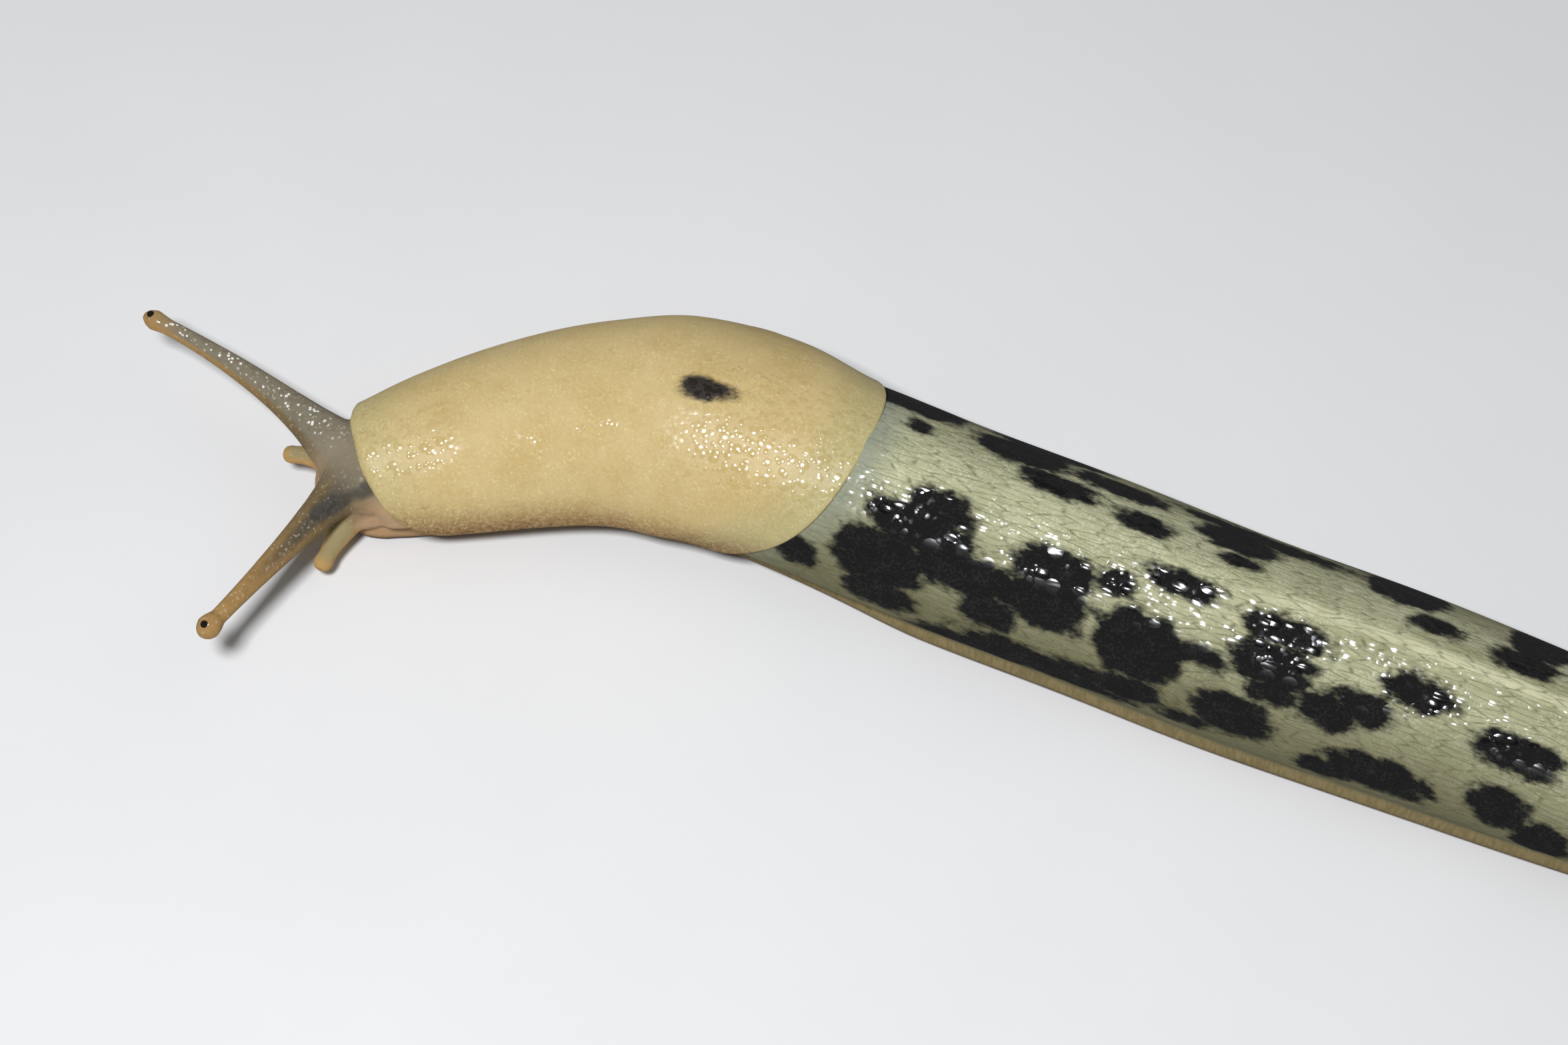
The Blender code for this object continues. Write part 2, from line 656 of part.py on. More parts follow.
def main():
    for obj in list(bpy.data.objects):
        bpy.data.objects.remove(obj)
    upper = {side: arm_points(arm, SIGNS[side], 25) for side, arm in UPPER_TENTACLES.items()}
    lower = {side: arm_points(arm, SIGNS[side], 9) for side, arm in LOWER_TENTACLES.items()}
    head = make_head(upper, lower)
    boolean(head, [mantle_solid("mantle_cutter", GAP)], "DIFFERENCE")
    for name, (start, end) in LENGTHS.items():
        obj = loft(name, [body_ring(s) for s in rounded_stations(start + GAP / 2, end - GAP / 2)])
        if name in UNDER_THE_MANTLE:
            boolean(obj, [mantle_solid("mantle_cutter", GAP)], "DIFFERENCE")
    mantle = mantle_solid("mantle")
    boolean(mantle, [breathing_hole()], "DIFFERENCE")
    for name, (start, end) in FOOT_LENGTHS.items():
        loft(name, [foot_ring(s) for s in rounded_stations(start + GAP / 2, end - GAP / 2)])
    make_tentacles(upper, lower)
    centre_on_floor()
    for obj in bpy.data.objects:
        paint(obj)


main()
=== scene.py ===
# %% [markdown]
# # A banana slug at life size
# The solids of the slug are loaded first, as a frame that stays where it is. They have the right size
# and place, but a living slug has one unbroken skin. So this lesson models that skin over them, from
# the same named sizes, and gives it the colours, spots and wet shine of the animal.

# %% Load the solids
import math
from functools import reduce

import bmesh
import bpy
import numpy as np
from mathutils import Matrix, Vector


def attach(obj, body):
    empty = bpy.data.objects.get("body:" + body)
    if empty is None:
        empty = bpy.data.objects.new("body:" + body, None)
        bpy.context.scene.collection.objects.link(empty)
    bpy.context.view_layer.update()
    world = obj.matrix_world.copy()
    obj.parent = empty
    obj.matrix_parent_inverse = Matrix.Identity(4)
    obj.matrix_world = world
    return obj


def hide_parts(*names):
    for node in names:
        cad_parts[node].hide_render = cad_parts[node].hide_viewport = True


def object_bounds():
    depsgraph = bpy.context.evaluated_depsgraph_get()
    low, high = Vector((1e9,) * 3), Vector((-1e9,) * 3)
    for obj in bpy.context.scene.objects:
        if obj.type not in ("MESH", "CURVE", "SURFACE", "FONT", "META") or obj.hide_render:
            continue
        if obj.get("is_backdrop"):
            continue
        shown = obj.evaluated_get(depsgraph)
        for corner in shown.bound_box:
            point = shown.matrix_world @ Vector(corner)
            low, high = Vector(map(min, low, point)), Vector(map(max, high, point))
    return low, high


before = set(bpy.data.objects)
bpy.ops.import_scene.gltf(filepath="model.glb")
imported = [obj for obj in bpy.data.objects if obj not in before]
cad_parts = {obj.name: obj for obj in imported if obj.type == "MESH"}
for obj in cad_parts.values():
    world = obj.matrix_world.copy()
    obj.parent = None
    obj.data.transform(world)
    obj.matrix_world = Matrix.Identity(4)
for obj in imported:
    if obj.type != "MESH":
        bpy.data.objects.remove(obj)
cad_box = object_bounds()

MM = 0.001
print("solids", len(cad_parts), "box in mm", [[round(v / MM, 2) for v in end] for end in cad_box])

# %% [markdown]
# ## The camera
# The photographer stood over the slug's left flank and looked down at it steeply. A camera is easiest
# to set by the point it looks at, the two angles it looks along, and its distance. A long lens keeps
# the slug's near and far ends in proportion, as it does in the photo.

# %% Camera
AZIMUTH, ELEVATION = math.radians(17.5), math.radians(60)
LOOKED_AT = Vector((-29.791, 7.152, 0)) * MM
CAMERA_DISTANCE = 326.7 * MM
LENS = 100
level = math.cos(ELEVATION)
look = Vector((-math.sin(AZIMUTH) * level, math.cos(AZIMUTH) * level, -math.sin(ELEVATION)))
turn = look.to_track_quat("-Z", "Y").to_euler()
bpy.ops.object.camera_add(location=LOOKED_AT - look * CAMERA_DISTANCE, rotation=turn)
camera = bpy.context.object
camera.name = "camera"
camera.data.lens = LENS
camera.data.clip_start = 10 * MM
bpy.context.scene.camera = camera
print("camera at mm", [round(v / MM, 1) for v in camera.location])

# %% [markdown]
# ## The line the body lies along
# A crawling slug is a tube laid along a curve on the ground. If every shape is given by its distance
# from the snout, its distance to the side and its height, the pose lives in one place: this curve.
# The headings come from a few pairs of distance and angle, joined by a curve that never overshoots.

# %% Curve through keys
def through(keys, x):
    """A smooth curve through (x, value) pairs, for one x or for many."""
    at, value = np.array(keys, float).T
    slope = np.diff(value) / np.diff(at)
    before, after = slope[:-1], slope[1:]
    total = np.where(before + after == 0, 1, before + after)
    inner = np.where(before * after > 0, 2 * before * after / total, 0)
    tangent = np.concatenate([slope[:1], inner, slope[-1:]])
    x = np.clip(x, at[0], at[-1])
    i = np.clip(np.searchsorted(at, x, side="right") - 1, 0, len(slope) - 1)
    width = at[i + 1] - at[i]
    t = (x - at[i]) / width
    level = value[i] * (2 * t**3 - 3 * t**2 + 1) + value[i + 1] * (3 * t**2 - 2 * t**3)
    return level + width * (tangent[i] * (t**3 - 2 * t**2 + t) + tangent[i + 1] * (t**3 - t**2))


def ease(t):
    """0 to 1 with level ends."""
    t = np.clip(t, 0, 1)
    return t * t * (3 - 2 * t)

# %% Spine
SNOUT = np.array((-63.4813, -2.3777))
FRAME_TURN = 17.5
TURNS = (
    (0, 13), (6, 13.8), (12, 13.8), (18, 9.2), (25, -4), (34, -22), (44, -25), (54, -22), (66, -25),
    (78, -21.5), (90, -23.5), (104, -23), (125, -17), (146, -9),
)
TAIL_TIP = 147.0
SPINE_STEP = 0.25
DISTANCES = np.arange(-30, 156, SPINE_STEP)


def heading(s):
    """The way from head to tail at a distance in mm, in radians from +X."""
    return np.radians(through(TURNS, s) + FRAME_TURN)


steps = heading(DISTANCES[:-1] + SPINE_STEP / 2)
spine = SPINE_STEP * np.cumsum(np.column_stack([np.cos(steps), np.sin(steps)]), axis=0)
spine = np.vstack([[0, 0], spine])
spine += SNOUT - spine[np.searchsorted(DISTANCES, 0)]


def place(s, side, z):
    """The point, in metres, at s mm from the snout, side mm to the animal's right and z mm up."""
    angle = heading(s)
    x = np.interp(s, DISTANCES, spine[:, 0]) - side * np.sin(angle)
    y = np.interp(s, DISTANCES, spine[:, 1]) + side * np.cos(angle)
    return np.stack(np.broadcast_arrays(x, y, z), axis=-1) * MM


print("tail's tip at mm", place(TAIL_TIP, 0, 0) / MM)

# %% [markdown]
# ## The sizes of the body
# A modeller measures the animal at a few distances from the snout and lets curves join the
# measurements. The back is a dome that grows a roof-like keel towards the tail. Below it lie a furrow,
# the fringe of the foot, and the flat sole. The body is widest at its waist, a little above the foot.

# %% Body sizes
BODY_HALF_WIDTHS = (
    (0, 3.1), (4, 4.5), (8, 5.3), (12, 5.9), (18, 6.5), (23, 7.0), (28, 7.7), (33, 7.9), (37, 8.2),
    (44, 8.3), (50, 8.25), (60, 8.2), (80, 8.15), (96, 7.7), (110, 6.7), (122, 5.3), (133, 3.6), (141, 2.1),
    (144.2, 1.5),
)
BODY_HEIGHTS = (
    (0, 6.2), (4, 7.55), (8, 8.9), (12, 9.8), (18, 10.5), (23, 11.0), (28, 11.8), (33, 12.1), (37, 12.3),
    (44, 12.2), (60, 12.0), (80, 11.8), (96, 11.3), (110, 10.0), (122, 8.2), (133, 6.0), (141, 4.4),
    (144.2, 3.6),
)
FOOT_HALF_WIDTHS = (
    (1.8, 1.3), (2.0, 2.1), (2.4, 2.8), (3.2, 3.5), (5, 4.1), (8, 4.6), (14, 5.3), (18, 5.6), (24, 6.1),
    (28, 6.45), (34, 6.7), (38, 6.85), (44, 7.2), (50, 7.75), (60, 7.95), (80, 7.9), (96, 7.45), (110, 6.5),
    (122, 5.2), (133, 3.6), (141, 2.25), (144.2, 1.75),
)
KEEL_SHARES = ((0, 0.0), (42, 0.15), (60, 0.3), (90, 0.5), (146, 0.75))
WAIST_SHARE = 0.235
ROOF_POWER = 1.15
FURROW_HEIGHT = 2.0
RIM_HEIGHT = 0.9
SOLE_INSET = 1.0
RIM_OUT = 0.4


def waist_of(height):
    """The height at which the body is widest."""
    return FURROW_HEIGHT + WAIST_SHARE * (height - FURROW_HEIGHT)


def over_the_back(half_width, height, keel, angle):
    """(side, z) of the outline over the crest, at an angle from the crest."""
    waist = waist_of(height)
    roof = 1 - np.abs(np.sin(angle)) ** ROOF_POWER
    return half_width * np.sin(angle), waist + (height - waist) * ((1 - keel) * np.cos(angle) + keel * roof)

# %% One side of a section
BACK_POINTS = 14
TIP_ROUNDING = 3.0


def furrow_angle(s):
    """The angle from the crest at which the body meets the foot."""
    half_width = through(BODY_HALF_WIDTHS, s)
    furrow = np.minimum(through(FOOT_HALF_WIDTHS, s) - RIM_OUT, 0.97 * half_width)
    return math.pi - np.arcsin(furrow / half_width)


def body_outline(s, angle):
    """(side, z) of the body at an angle from the crest, down to the furrow above the foot."""
    half_width, height = through(BODY_HALF_WIDTHS, s), through(BODY_HEIGHTS, s)
    waist = waist_of(height)
    side, z = over_the_back(half_width, height, through(KEEL_SHARES, s), angle)
    drop = (waist - FURROW_HEIGHT) / -np.cos(furrow_angle(s))
    return side, np.where(angle > math.pi / 2, waist + drop * np.cos(angle), z)


def half_section(s):
    """(side, z) from the crest down the right side to the middle of the sole."""
    back = np.column_stack(body_outline(s, furrow_angle(s) * np.linspace(0, 1, BACK_POINTS)))
    reach = through(FOOT_HALF_WIDTHS, s)
    inset = min(SOLE_INSET, 0.45 * reach)
    fringe_and_shade = [(reach - 0.22, 1.62), (reach + 0.08, 1.0)]
    fringe_and_shade += [(reach - 0.2 * inset, 0.3), (reach - 0.85 * inset, 0)]
    sole = [(0.62 * (reach - inset), 0), (0.3 * (reach - inset), 0), (0, 0)]
    t = np.clip((s - TAIL_TIP + TIP_ROUNDING) / TIP_ROUNDING, 0, 0.995)
    return np.vstack([back, fringe_and_shade, sole]) * (math.sqrt(1 - t * t), 0.3 + 0.7 * (1 - t * t) ** 0.4)


print("section at 60 mm, widest", round(float(half_section(60)[:, 0].max()), 2), "mm to each side")

# %% [markdown]
# ## The trunk
# By hand, a tube of changing section is made from circles: one circle at each distance, pushed into
# the outline there, and all of them bridged. The circles stand a few millimetres apart, and a
# subdivision surface rounds what lies between them, so the skin has no facets and no steps.

# %% Helpers for edit mode
def clear_selection():
    if bpy.context.object and bpy.context.object.mode != "OBJECT":
        bpy.ops.object.mode_set(mode="OBJECT")
    bpy.ops.object.select_all(action="DESELECT")


def activate(obj):
    clear_selection()
    obj.select_set(True)
    bpy.context.view_layer.objects.active = obj


def add_ring(obj, points):
    """In edit mode, adds a circle and pushes its points onto an outline."""
    bpy.ops.mesh.select_all(action="DESELECT")
    bpy.ops.mesh.primitive_circle_add(vertices=len(points))
    mesh = bmesh.from_edit_mesh(obj.data)
    mesh.verts.ensure_lookup_table()
    for vertex, point in zip(mesh.verts[-len(points):], points):
        vertex.co = point
    bmesh.update_edit_mesh(obj.data)


def end_edit():
    """Turns all faces outwards and leaves edit mode."""
    bpy.ops.mesh.select_mode(type="VERT")
    bpy.ops.mesh.select_all(action="SELECT")
    bpy.ops.mesh.normals_make_consistent(inside=False)
    bpy.ops.object.mode_set(mode="OBJECT")


def bridge_rings(name, rings):
    """A closed tube through rings of points, made by bridging circles."""
    clear_selection()
    bpy.ops.mesh.primitive_circle_add(vertices=len(rings[0]))
    obj = bpy.context.object
    obj.name = obj.data.name = name
    obj.data.vertices.foreach_set("co", np.ravel(rings[0]))
    bpy.ops.object.mode_set(mode="EDIT")
    for points in rings[1:]:
        add_ring(obj, points)
    bpy.ops.mesh.select_all(action="SELECT")
    bpy.ops.mesh.bridge_edge_loops()
    count = len(rings[0])
    for first in (0, (len(rings) - 1) * count):
        bpy.ops.mesh.select_all(action="DESELECT")
        mesh = bmesh.from_edit_mesh(obj.data)
        mesh.verts.ensure_lookup_table()
        for vertex in mesh.verts[first:first + count]:
            vertex.select = True
        mesh.select_flush(True)
        bpy.ops.mesh.edge_face_add()
    end_edit()
    return obj


def apply_modifier(obj, kind, **values):
    """Adds a modifier, sets it and applies it."""
    activate(obj)
    modifier = obj.modifiers.new(kind.title(), kind)
    for key, value in values.items():
        setattr(modifier, key, value)
    bpy.ops.object.modifier_apply(modifier=modifier.name)

# %% Trunk
BODY_START = 3.2
RING_SPACING = 2.2
TIP_STATIONS = (143.6, 144.8, 145.7, 146.3, 146.7, 146.92, TAIL_TIP)


def whole_section(s):
    """The closed outline at s, as points in metres."""
    right = half_section(s)
    left = right[-2:0:-1] * (-1, 1)
    outline = np.vstack([right, left])
    return place(s, outline[:, 0], outline[:, 1])


stations = np.concatenate([np.arange(BODY_START, 143, RING_SPACING), TIP_STATIONS])
trunk = bridge_rings("slug_skin", [whole_section(s) for s in stations])
apply_modifier(trunk, "SUBSURF", levels=2, render_levels=2)
print("trunk", len(trunk.data.polygons), "faces from", len(stations), "circles")

# %% [markdown]
# ## The head
# The head is a low muzzle under the mantle's front. It has a brow that sinks between the tentacles, an
# upper lip over two soft lobes, and four tentacles: the upper two carry the eyes, and the lower two
# feel the ground. Such swelling forms are laid over each other as rough balls and tubes, and a voxel
# remesh then melts them into one skin, which smoothing makes as soft as flesh.

# %% Tentacle sizes
ARMS = {
    ("upper", "left"): dict(
        root=(3.2, -0.6, 5.0), length=18.5, degrees_right=-43, bend=0, rise=9, radii=(
            (0, 1.9), (1.8, 1.78), (3.2, 1.55), (5, 1.28), (7.5, 1.03), (10, 0.86), (13, 0.71), (16.3, 0.63),
            (17.1, 0.84), (17.7, 0.92), (18.2, 0.72), (18.5, 0.3),
        ),
    ),
    ("upper", "right"): dict(
        root=(3.2, 0.35, 5.15), length=20.2, degrees_right=49, bend=-20, rise=6, radii=(
            (0, 2.3), (2.2, 2.1), (3.7, 1.75), (5.5, 1.4), (8, 1.1), (11.5, 0.86), (15, 0.68), (18.0, 0.61),
            (18.7, 0.7), (19.4, 0.78), (19.9, 0.6), (20.2, 0.25),
        ),
    ),
    ("lower", "left"): dict(
        root=(2.0, -2.75, 2.9), length=4.6, degrees_right=-50, bend=0, rise=-14, radii=(
            (0, 1.45), (1.2, 1.1), (2.4, 0.8), (3.2, 0.67), (3.8, 0.72), (4.2, 0.72), (4.5, 0.5), (4.6, 0.22),
        ),
    ),
    ("lower", "right"): dict(
        root=(1.8, 2.0, 3.7), length=3.9, degrees_right=24, bend=0, rise=-8, radii=(
            (0, 1.2), (1.3, 0.92), (2.2, 0.72), (2.8, 0.66), (3.3, 0.7), (3.6, 0.66), (3.8, 0.44), (3.9, 0.2),
        ),
    ),
}


def arm_line(arm, count):
    """Points in metres along a tentacle."""
    step = arm["length"] / (count - 1)
    middles = (np.arange(count - 1) + 0.5) / (count - 1) - 0.5
    flat = heading(0) + math.pi - np.radians(arm["degrees_right"] + arm["bend"] * middles)
    rise = math.radians(arm["rise"])
    ways = np.column_stack([np.cos(flat), np.sin(flat), np.full(count - 1, math.tan(rise))])
    ways *= math.cos(rise)
    return place(*arm["root"]) + MM * step * np.vstack([[0, 0, 0], np.cumsum(ways, axis=0)])

# %% Tubes and balls
TUBE_SIDES = 20
TUBE_RINGS = 40


def tube(name, line, radii):
    """A rod along points, with a radius in mm at each."""
    ways = np.gradient(line, axis=0)
    ways /= np.linalg.norm(ways, axis=1)[:, None]
    across = np.cross(ways, (0, 0, 1))
    across /= np.linalg.norm(across, axis=1)[:, None]
    upward = np.cross(across, ways)
    turns = np.linspace(0, 2 * math.pi, TUBE_SIDES, endpoint=False)
    rings = []
    for centre, side, up, radius in zip(line, across, upward, radii):
        rings.append(centre + MM * radius * (np.outer(np.cos(turns), side) + np.outer(np.sin(turns), up)))
    return bridge_rings(name, rings)


def lump(name, s, side, z, radii, tilt=0.0):
    """A ball stretched along, across and up the head, its front tilted down."""
    clear_selection()
    bpy.ops.mesh.primitive_uv_sphere_add(segments=32, ring_count=20, radius=MM, location=place(s, side, z))
    obj = bpy.context.object
    obj.name = name
    obj.scale = radii
    obj.rotation_euler = (0, -math.radians(tilt), heading(s))
    bpy.ops.object.transform_apply()
    return obj

# %% Head parts
CHEEK_STATIONS = (2.8, 3.1, 3.6, 4.2, 4.8, 5.6, 6.8, 8, 9.2, 10.4, 11.6, 12.8)
FOOT_TIP_STATIONS = (1.8, 2.0, 2.4, 3.2, 4.2, 5.4, 6.8)


def cheek_section(s):
    """The outline at s, drawn in towards the neck's middle in front so that the cheeks are round."""
    middle = place(s, 0, 3.4)
    return middle + (whole_section(s) - middle) * (0.45 + 0.55 * math.sqrt(ease((s - 2.6) / 2.6)))


head_parts = [
    bridge_rings("cheeks", [cheek_section(s) for s in CHEEK_STATIONS]),
    lump("brow", 4.2, 0, 4.9, (3.7, 4.0, 2.85)),
    lump("muzzle", 2.7, 0, 3.7, (2.5, 2.8, 2.2), 12),
    lump("upper_lip", 1.15, 0, 3.1, (1.15, 2.0, 0.85), 24),
    lump("chin", 2.2, 0, 2.0, (1.5, 1.9, 1.1)),
    lump("left_lobe", 1.5, -0.85, 2.15, (1.1, 1.05, 0.75), 15),
    lump("right_lobe", 1.5, 0.85, 2.15, (1.1, 1.05, 0.75), 15),
    lump("left_jowl", 3.7, -2.7, 3.0, (2.5, 1.25, 1.5)),
    lump("right_jowl", 3.9, 2.6, 3.1, (2.6, 1.2, 1.4)),
]
for (level, side), arm in ARMS.items():
    radii = through(arm["radii"], np.linspace(0, arm["length"], TUBE_RINGS))
    head_parts.append(tube(f"{level}_{side}", arm_line(arm, TUBE_RINGS), radii))


def foot_front(s):
    """The outline of the foot alone, where it begins under the snout."""
    reach = through(FOOT_HALF_WIDTHS, s)
    inset = min(SOLE_INSET, 0.45 * reach)
    top = FURROW_HEIGHT * (0.6 + 0.4 * ease((s - 1.8) / 1.6))
    rim = [(reach - 0.7 * inset, top), (reach - 0.25 * inset, 0.8 * top), (reach + 0.08, 0.5 * top)]
    rim += [(reach - 0.2 * inset, 0.15 * top), (reach - 0.85 * inset, 0)]
    right = [(0, top)] + rim + [(0, 0)]
    outline = np.array(right + [(-side, z) for side, z in rim[::-1]])
    return place(s, outline[:, 0], outline[:, 1])


head_parts.append(bridge_rings("foot_tip", [foot_front(s) for s in FOOT_TIP_STATIONS]))
print("head parts", [part.name for part in head_parts])

# %% Melt the head into one
HEAD_VOXEL = 0.145 * MM


def join(keeper, *pieces):
    """Makes pieces part of another, which keeps its name."""
    activate(keeper)
    for piece in pieces:
        piece.select_set(True)
    bpy.ops.object.join()
    return keeper


head = join(*head_parts)
apply_modifier(head, "REMESH", mode="VOXEL", voxel_size=HEAD_VOXEL)
apply_modifier(head, "SMOOTH", factor=0.5, iterations=20)
print("head", len(head.data.polygons), "faces")

# %% [markdown]
# ## Truing up the tentacles
# Smoothing leaves faint steps on thin rods and shrinks them. A tentacle's true radius is known at each
# distance from its root, so its points are moved straight out from its middle line until they have
# that radius. Near the root the move fades out, and the soft corner there stays.

# %% True tentacles
ARM_STEP = 0.05
TRUE_FROM, END_ROUND = {"upper": 4.2, "lower": 2.2}, {"upper": 0.7, "lower": 0.5}


def points_of(obj):
    values = np.empty(len(obj.data.vertices) * 3)
    obj.data.vertices.foreach_get("co", values)
    return values.reshape(-1, 3)


def set_points(obj, points):
    obj.data.vertices.foreach_set("co", np.ravel(points))
    obj.data.update()


def nearest_on_line(points, line):
    """For each point, the index of the nearest point of a line, and the distance to it."""
    index, best = np.zeros(len(points), int), np.full(len(points), np.inf)
    for k, spot in enumerate(line):
        gap = np.linalg.norm(points - spot, axis=1)
        closer = gap < best
        index[closer], best[closer] = k, gap[closer]
    return index, best


def arm_place(points, key):
    """Each point's distance up a tentacle in mm, its gap from the middle, the radius, and its way out."""
    arm, line = ARMS[key], arm_lines[key]
    index, gap = nearest_on_line(points, line)
    distance = index * arm["length"] / (len(line) - 1)
    way = (points - line[index]) / np.maximum(gap, 1e-7)[:, None]
    return distance, gap, through(arm["radii"], distance) * MM, way


arm_lines = {key: arm_line(arm, round(arm["length"] / ARM_STEP)) for key, arm in ARMS.items()}
points = points_of(head)
for (level, side), arm in ARMS.items():
    distance, gap, radius, way = arm_place(points, (level, side))
    to_end = arm["length"] - END_ROUND[level] - distance
    weight = ease((distance - TRUE_FROM[level]) / 1.2) * ease(to_end / 0.3)
    weight *= ease((1.7 - gap / radius) / 0.4)
    points = points + (weight * (radius - gap))[:, None] * way
    print(level, side, "tentacle,", int((weight > 0.5).sum()), "points trued")
set_points(head, points)

# %% [markdown]
# ## Joining head and trunk
# The join is hidden under the mantle. The head is cut there by a plane across the spine, and its edge
# is bridged to the first circle of the trunk, so head and trunk are one closed surface.

# %% Fit the cheeks to the trunk
HEAD_CUT, TRUNK_CUT = 9.6, 10.0


def spine_place(points):
    """Distance from the snout and distance to the right, in mm, of points in metres."""
    flat = points[:, :2] / MM
    index = 2 * nearest_on_line(flat, spine[::2])[0]
    angle = heading(DISTANCES[index])
    offset = flat - spine[index]
    ahead = offset[:, 0] * np.cos(angle) + offset[:, 1] * np.sin(angle)
    side = offset[:, 1] * np.cos(angle) - offset[:, 0] * np.sin(angle)
    return DISTANCES[index] + ahead, side


group = head.vertex_groups.new(name="cheeks")
points = points_of(head)
along, _ = spine_place(points)
near = np.array([trunk.closest_point_on_mesh(point)[1] for point in points.tolist()])
gap = np.linalg.norm(points - near, axis=1) / MM
weights = np.maximum(ease((along - 4.4) / 1.2) * ease((0.5 - gap) / 0.3), ease((along - 6.5) / 1.5))
for index in np.flatnonzero(weights).tolist():
    group.add([index], float(weights[index]), "REPLACE")
apply_modifier(head, "SHRINKWRAP", target=trunk, vertex_group="cheeks", wrap_method="NEAREST_SURFACEPOINT")

# %% Bridge head to trunk
def cut_across(obj, s, keep_front):
    """Cuts a piece by a plane across the spine and keeps one side of it."""
    activate(obj)
    bpy.ops.object.mode_set(mode="EDIT")
    bpy.ops.mesh.select_all(action="SELECT")
    way = heading(s)
    plane = {"plane_co": place(s, 0, 0), "plane_no": (math.cos(way), math.sin(way), 0)}
    bpy.ops.mesh.bisect(**plane, clear_outer=keep_front, clear_inner=not keep_front)
    bpy.ops.object.mode_set(mode="OBJECT")


def select_open_edges(obj):
    """In edit mode, selects the edges that have a face on one side only, and counts them."""
    bpy.ops.mesh.select_mode(type="EDGE")
    bpy.ops.mesh.select_all(action="DESELECT")
    edit = bmesh.from_edit_mesh(obj.data)
    for edge in edit.edges:
        edge.select = edge.is_boundary
    bmesh.update_edit_mesh(obj.data)
    return sum(edge.select for edge in edit.edges)


cut_across(head, HEAD_CUT, True)
cut_across(trunk, TRUNK_CUT, False)
skin = join(trunk, head)
bpy.ops.object.mode_set(mode="EDIT")
open_before = select_open_edges(skin)
bpy.ops.mesh.bridge_edge_loops()
print("open edges before and after the bridge", open_before, select_open_edges(skin))
end_edit()

# %% [markdown]
# ## The mantle
# The mantle is a saddle of thick skin over the neck and shoulders. It can be pushed out of a flat
# grid: the grid becomes the outer face, a copy becomes the inner face, and the two rims are bridged
# with a few cuts, which rounds the lip. The lip is thick in front and thin behind.

# %% Mantle sizes
MANTLE_HALF_WIDTHS = (
    (2, 4.9), (4, 5.36), (8, 6.28), (12.5, 7.0), (18, 7.65), (23, 8.2), (28, 8.9), (33, 9.0), (38, 8.75),
    (44, 8.5),
)
MANTLE_HEIGHTS = (
    (2, 8.9), (4, 9.25), (8, 9.95), (12.5, 10.8), (18, 11.6), (23, 12.3), (28, 13.0), (33, 13.1), (38, 12.85),
    (44, 12.45),
)
MANTLE_MIDDLE, MANTLE_HALF = 23.25, 19.25
MANTLE_HANG = 112
SKIRT_DROP_SHARE = 0.105
MANTLE_THICKNESS = 1.5
FRONT_LIP, BACK_LIP = 1.1, 0.35
LIP_SHARE = 0.22
LIP_FROM_OUTSIDE = 0.35
FRONT_POWER, BACK_POWER = 3.5, 2.25


def mantle_outline(s, angle, depth=0.0):
    """(side, z) of the mantle at an angle from its crest, depth mm under its face."""
    half_width = through(MANTLE_HALF_WIDTHS, s) - depth
    height = through(MANTLE_HEIGHTS, s) - depth
    side, z = over_the_back(half_width, height, 0.0, angle)
    drop = SKIRT_DROP_SHARE * height
    below = np.maximum(np.abs(angle) - math.pi / 2, 0)
    hanging = waist_of(height) - drop * np.tanh(below * (height - waist_of(height)) / drop)
    return side, np.where(below > 0, hanging, z)


def rim_share(p, q):
    """0 in the mantle's middle and 1 on its rim, which has rounder corners behind than in front."""
    power = FRONT_POWER + (BACK_POWER - FRONT_POWER) * ease(0.5 + p)
    return (np.abs(p) ** power + np.abs(q) ** power) ** (1 / power)


def mantle_place(p, q):
    """(s, angle) for p from -1 in front to 1 behind, q from -1 on the left to 1 on the right."""
    drawn = np.maximum(np.abs(p), np.abs(q)) / np.maximum(rim_share(p, q), 1e-9)
    return MANTLE_MIDDLE + drawn * p * MANTLE_HALF, math.radians(MANTLE_HANG) * drawn * q


def mantle_depths(p, q):
    """How deep the outer and the inner face lie, drawn together towards the lip."""
    near_edge = ease((np.maximum(np.abs(p), np.abs(q)) - 1 + LIP_SHARE) / LIP_SHARE)
    lip = FRONT_LIP + (BACK_LIP - FRONT_LIP) * ease(0.5 + p)
    drawn = (MANTLE_THICKNESS - lip) * near_edge
    return LIP_FROM_OUTSIDE * drawn, MANTLE_THICKNESS - (1 - LIP_FROM_OUTSIDE) * drawn

# %% [markdown]
# ## The breathing hole
# Air comes in through a hole in the mantle's right side, with a slit from it down to the mantle's edge.
# A cut would leave a hard rim, and this rim is soft. So the mesh is made finer there and pushed in,
# by a depth that grows smoothly from the rim to the middle.

# %% Breathing hole
HOLE_AT = (31.5, 80)
HOLE_RADII = (1.3, 0.95)
SLIT_HALF_WIDTH = 0.3
HOLE_DEPTH = 1.0
FINE_LENGTH, FINE_TOP = 2.6, 2.2
_, HOLE_HEIGHT = mantle_outline(HOLE_AT[0], math.radians(HOLE_AT[1]))


def hole_measures(s, angle):
    """Distances in mm from the hole's middle, along and up, and whether it is the right side."""
    _, z = mantle_outline(s, angle)
    return s - HOLE_AT[0], z - HOLE_HEIGHT, angle > 0


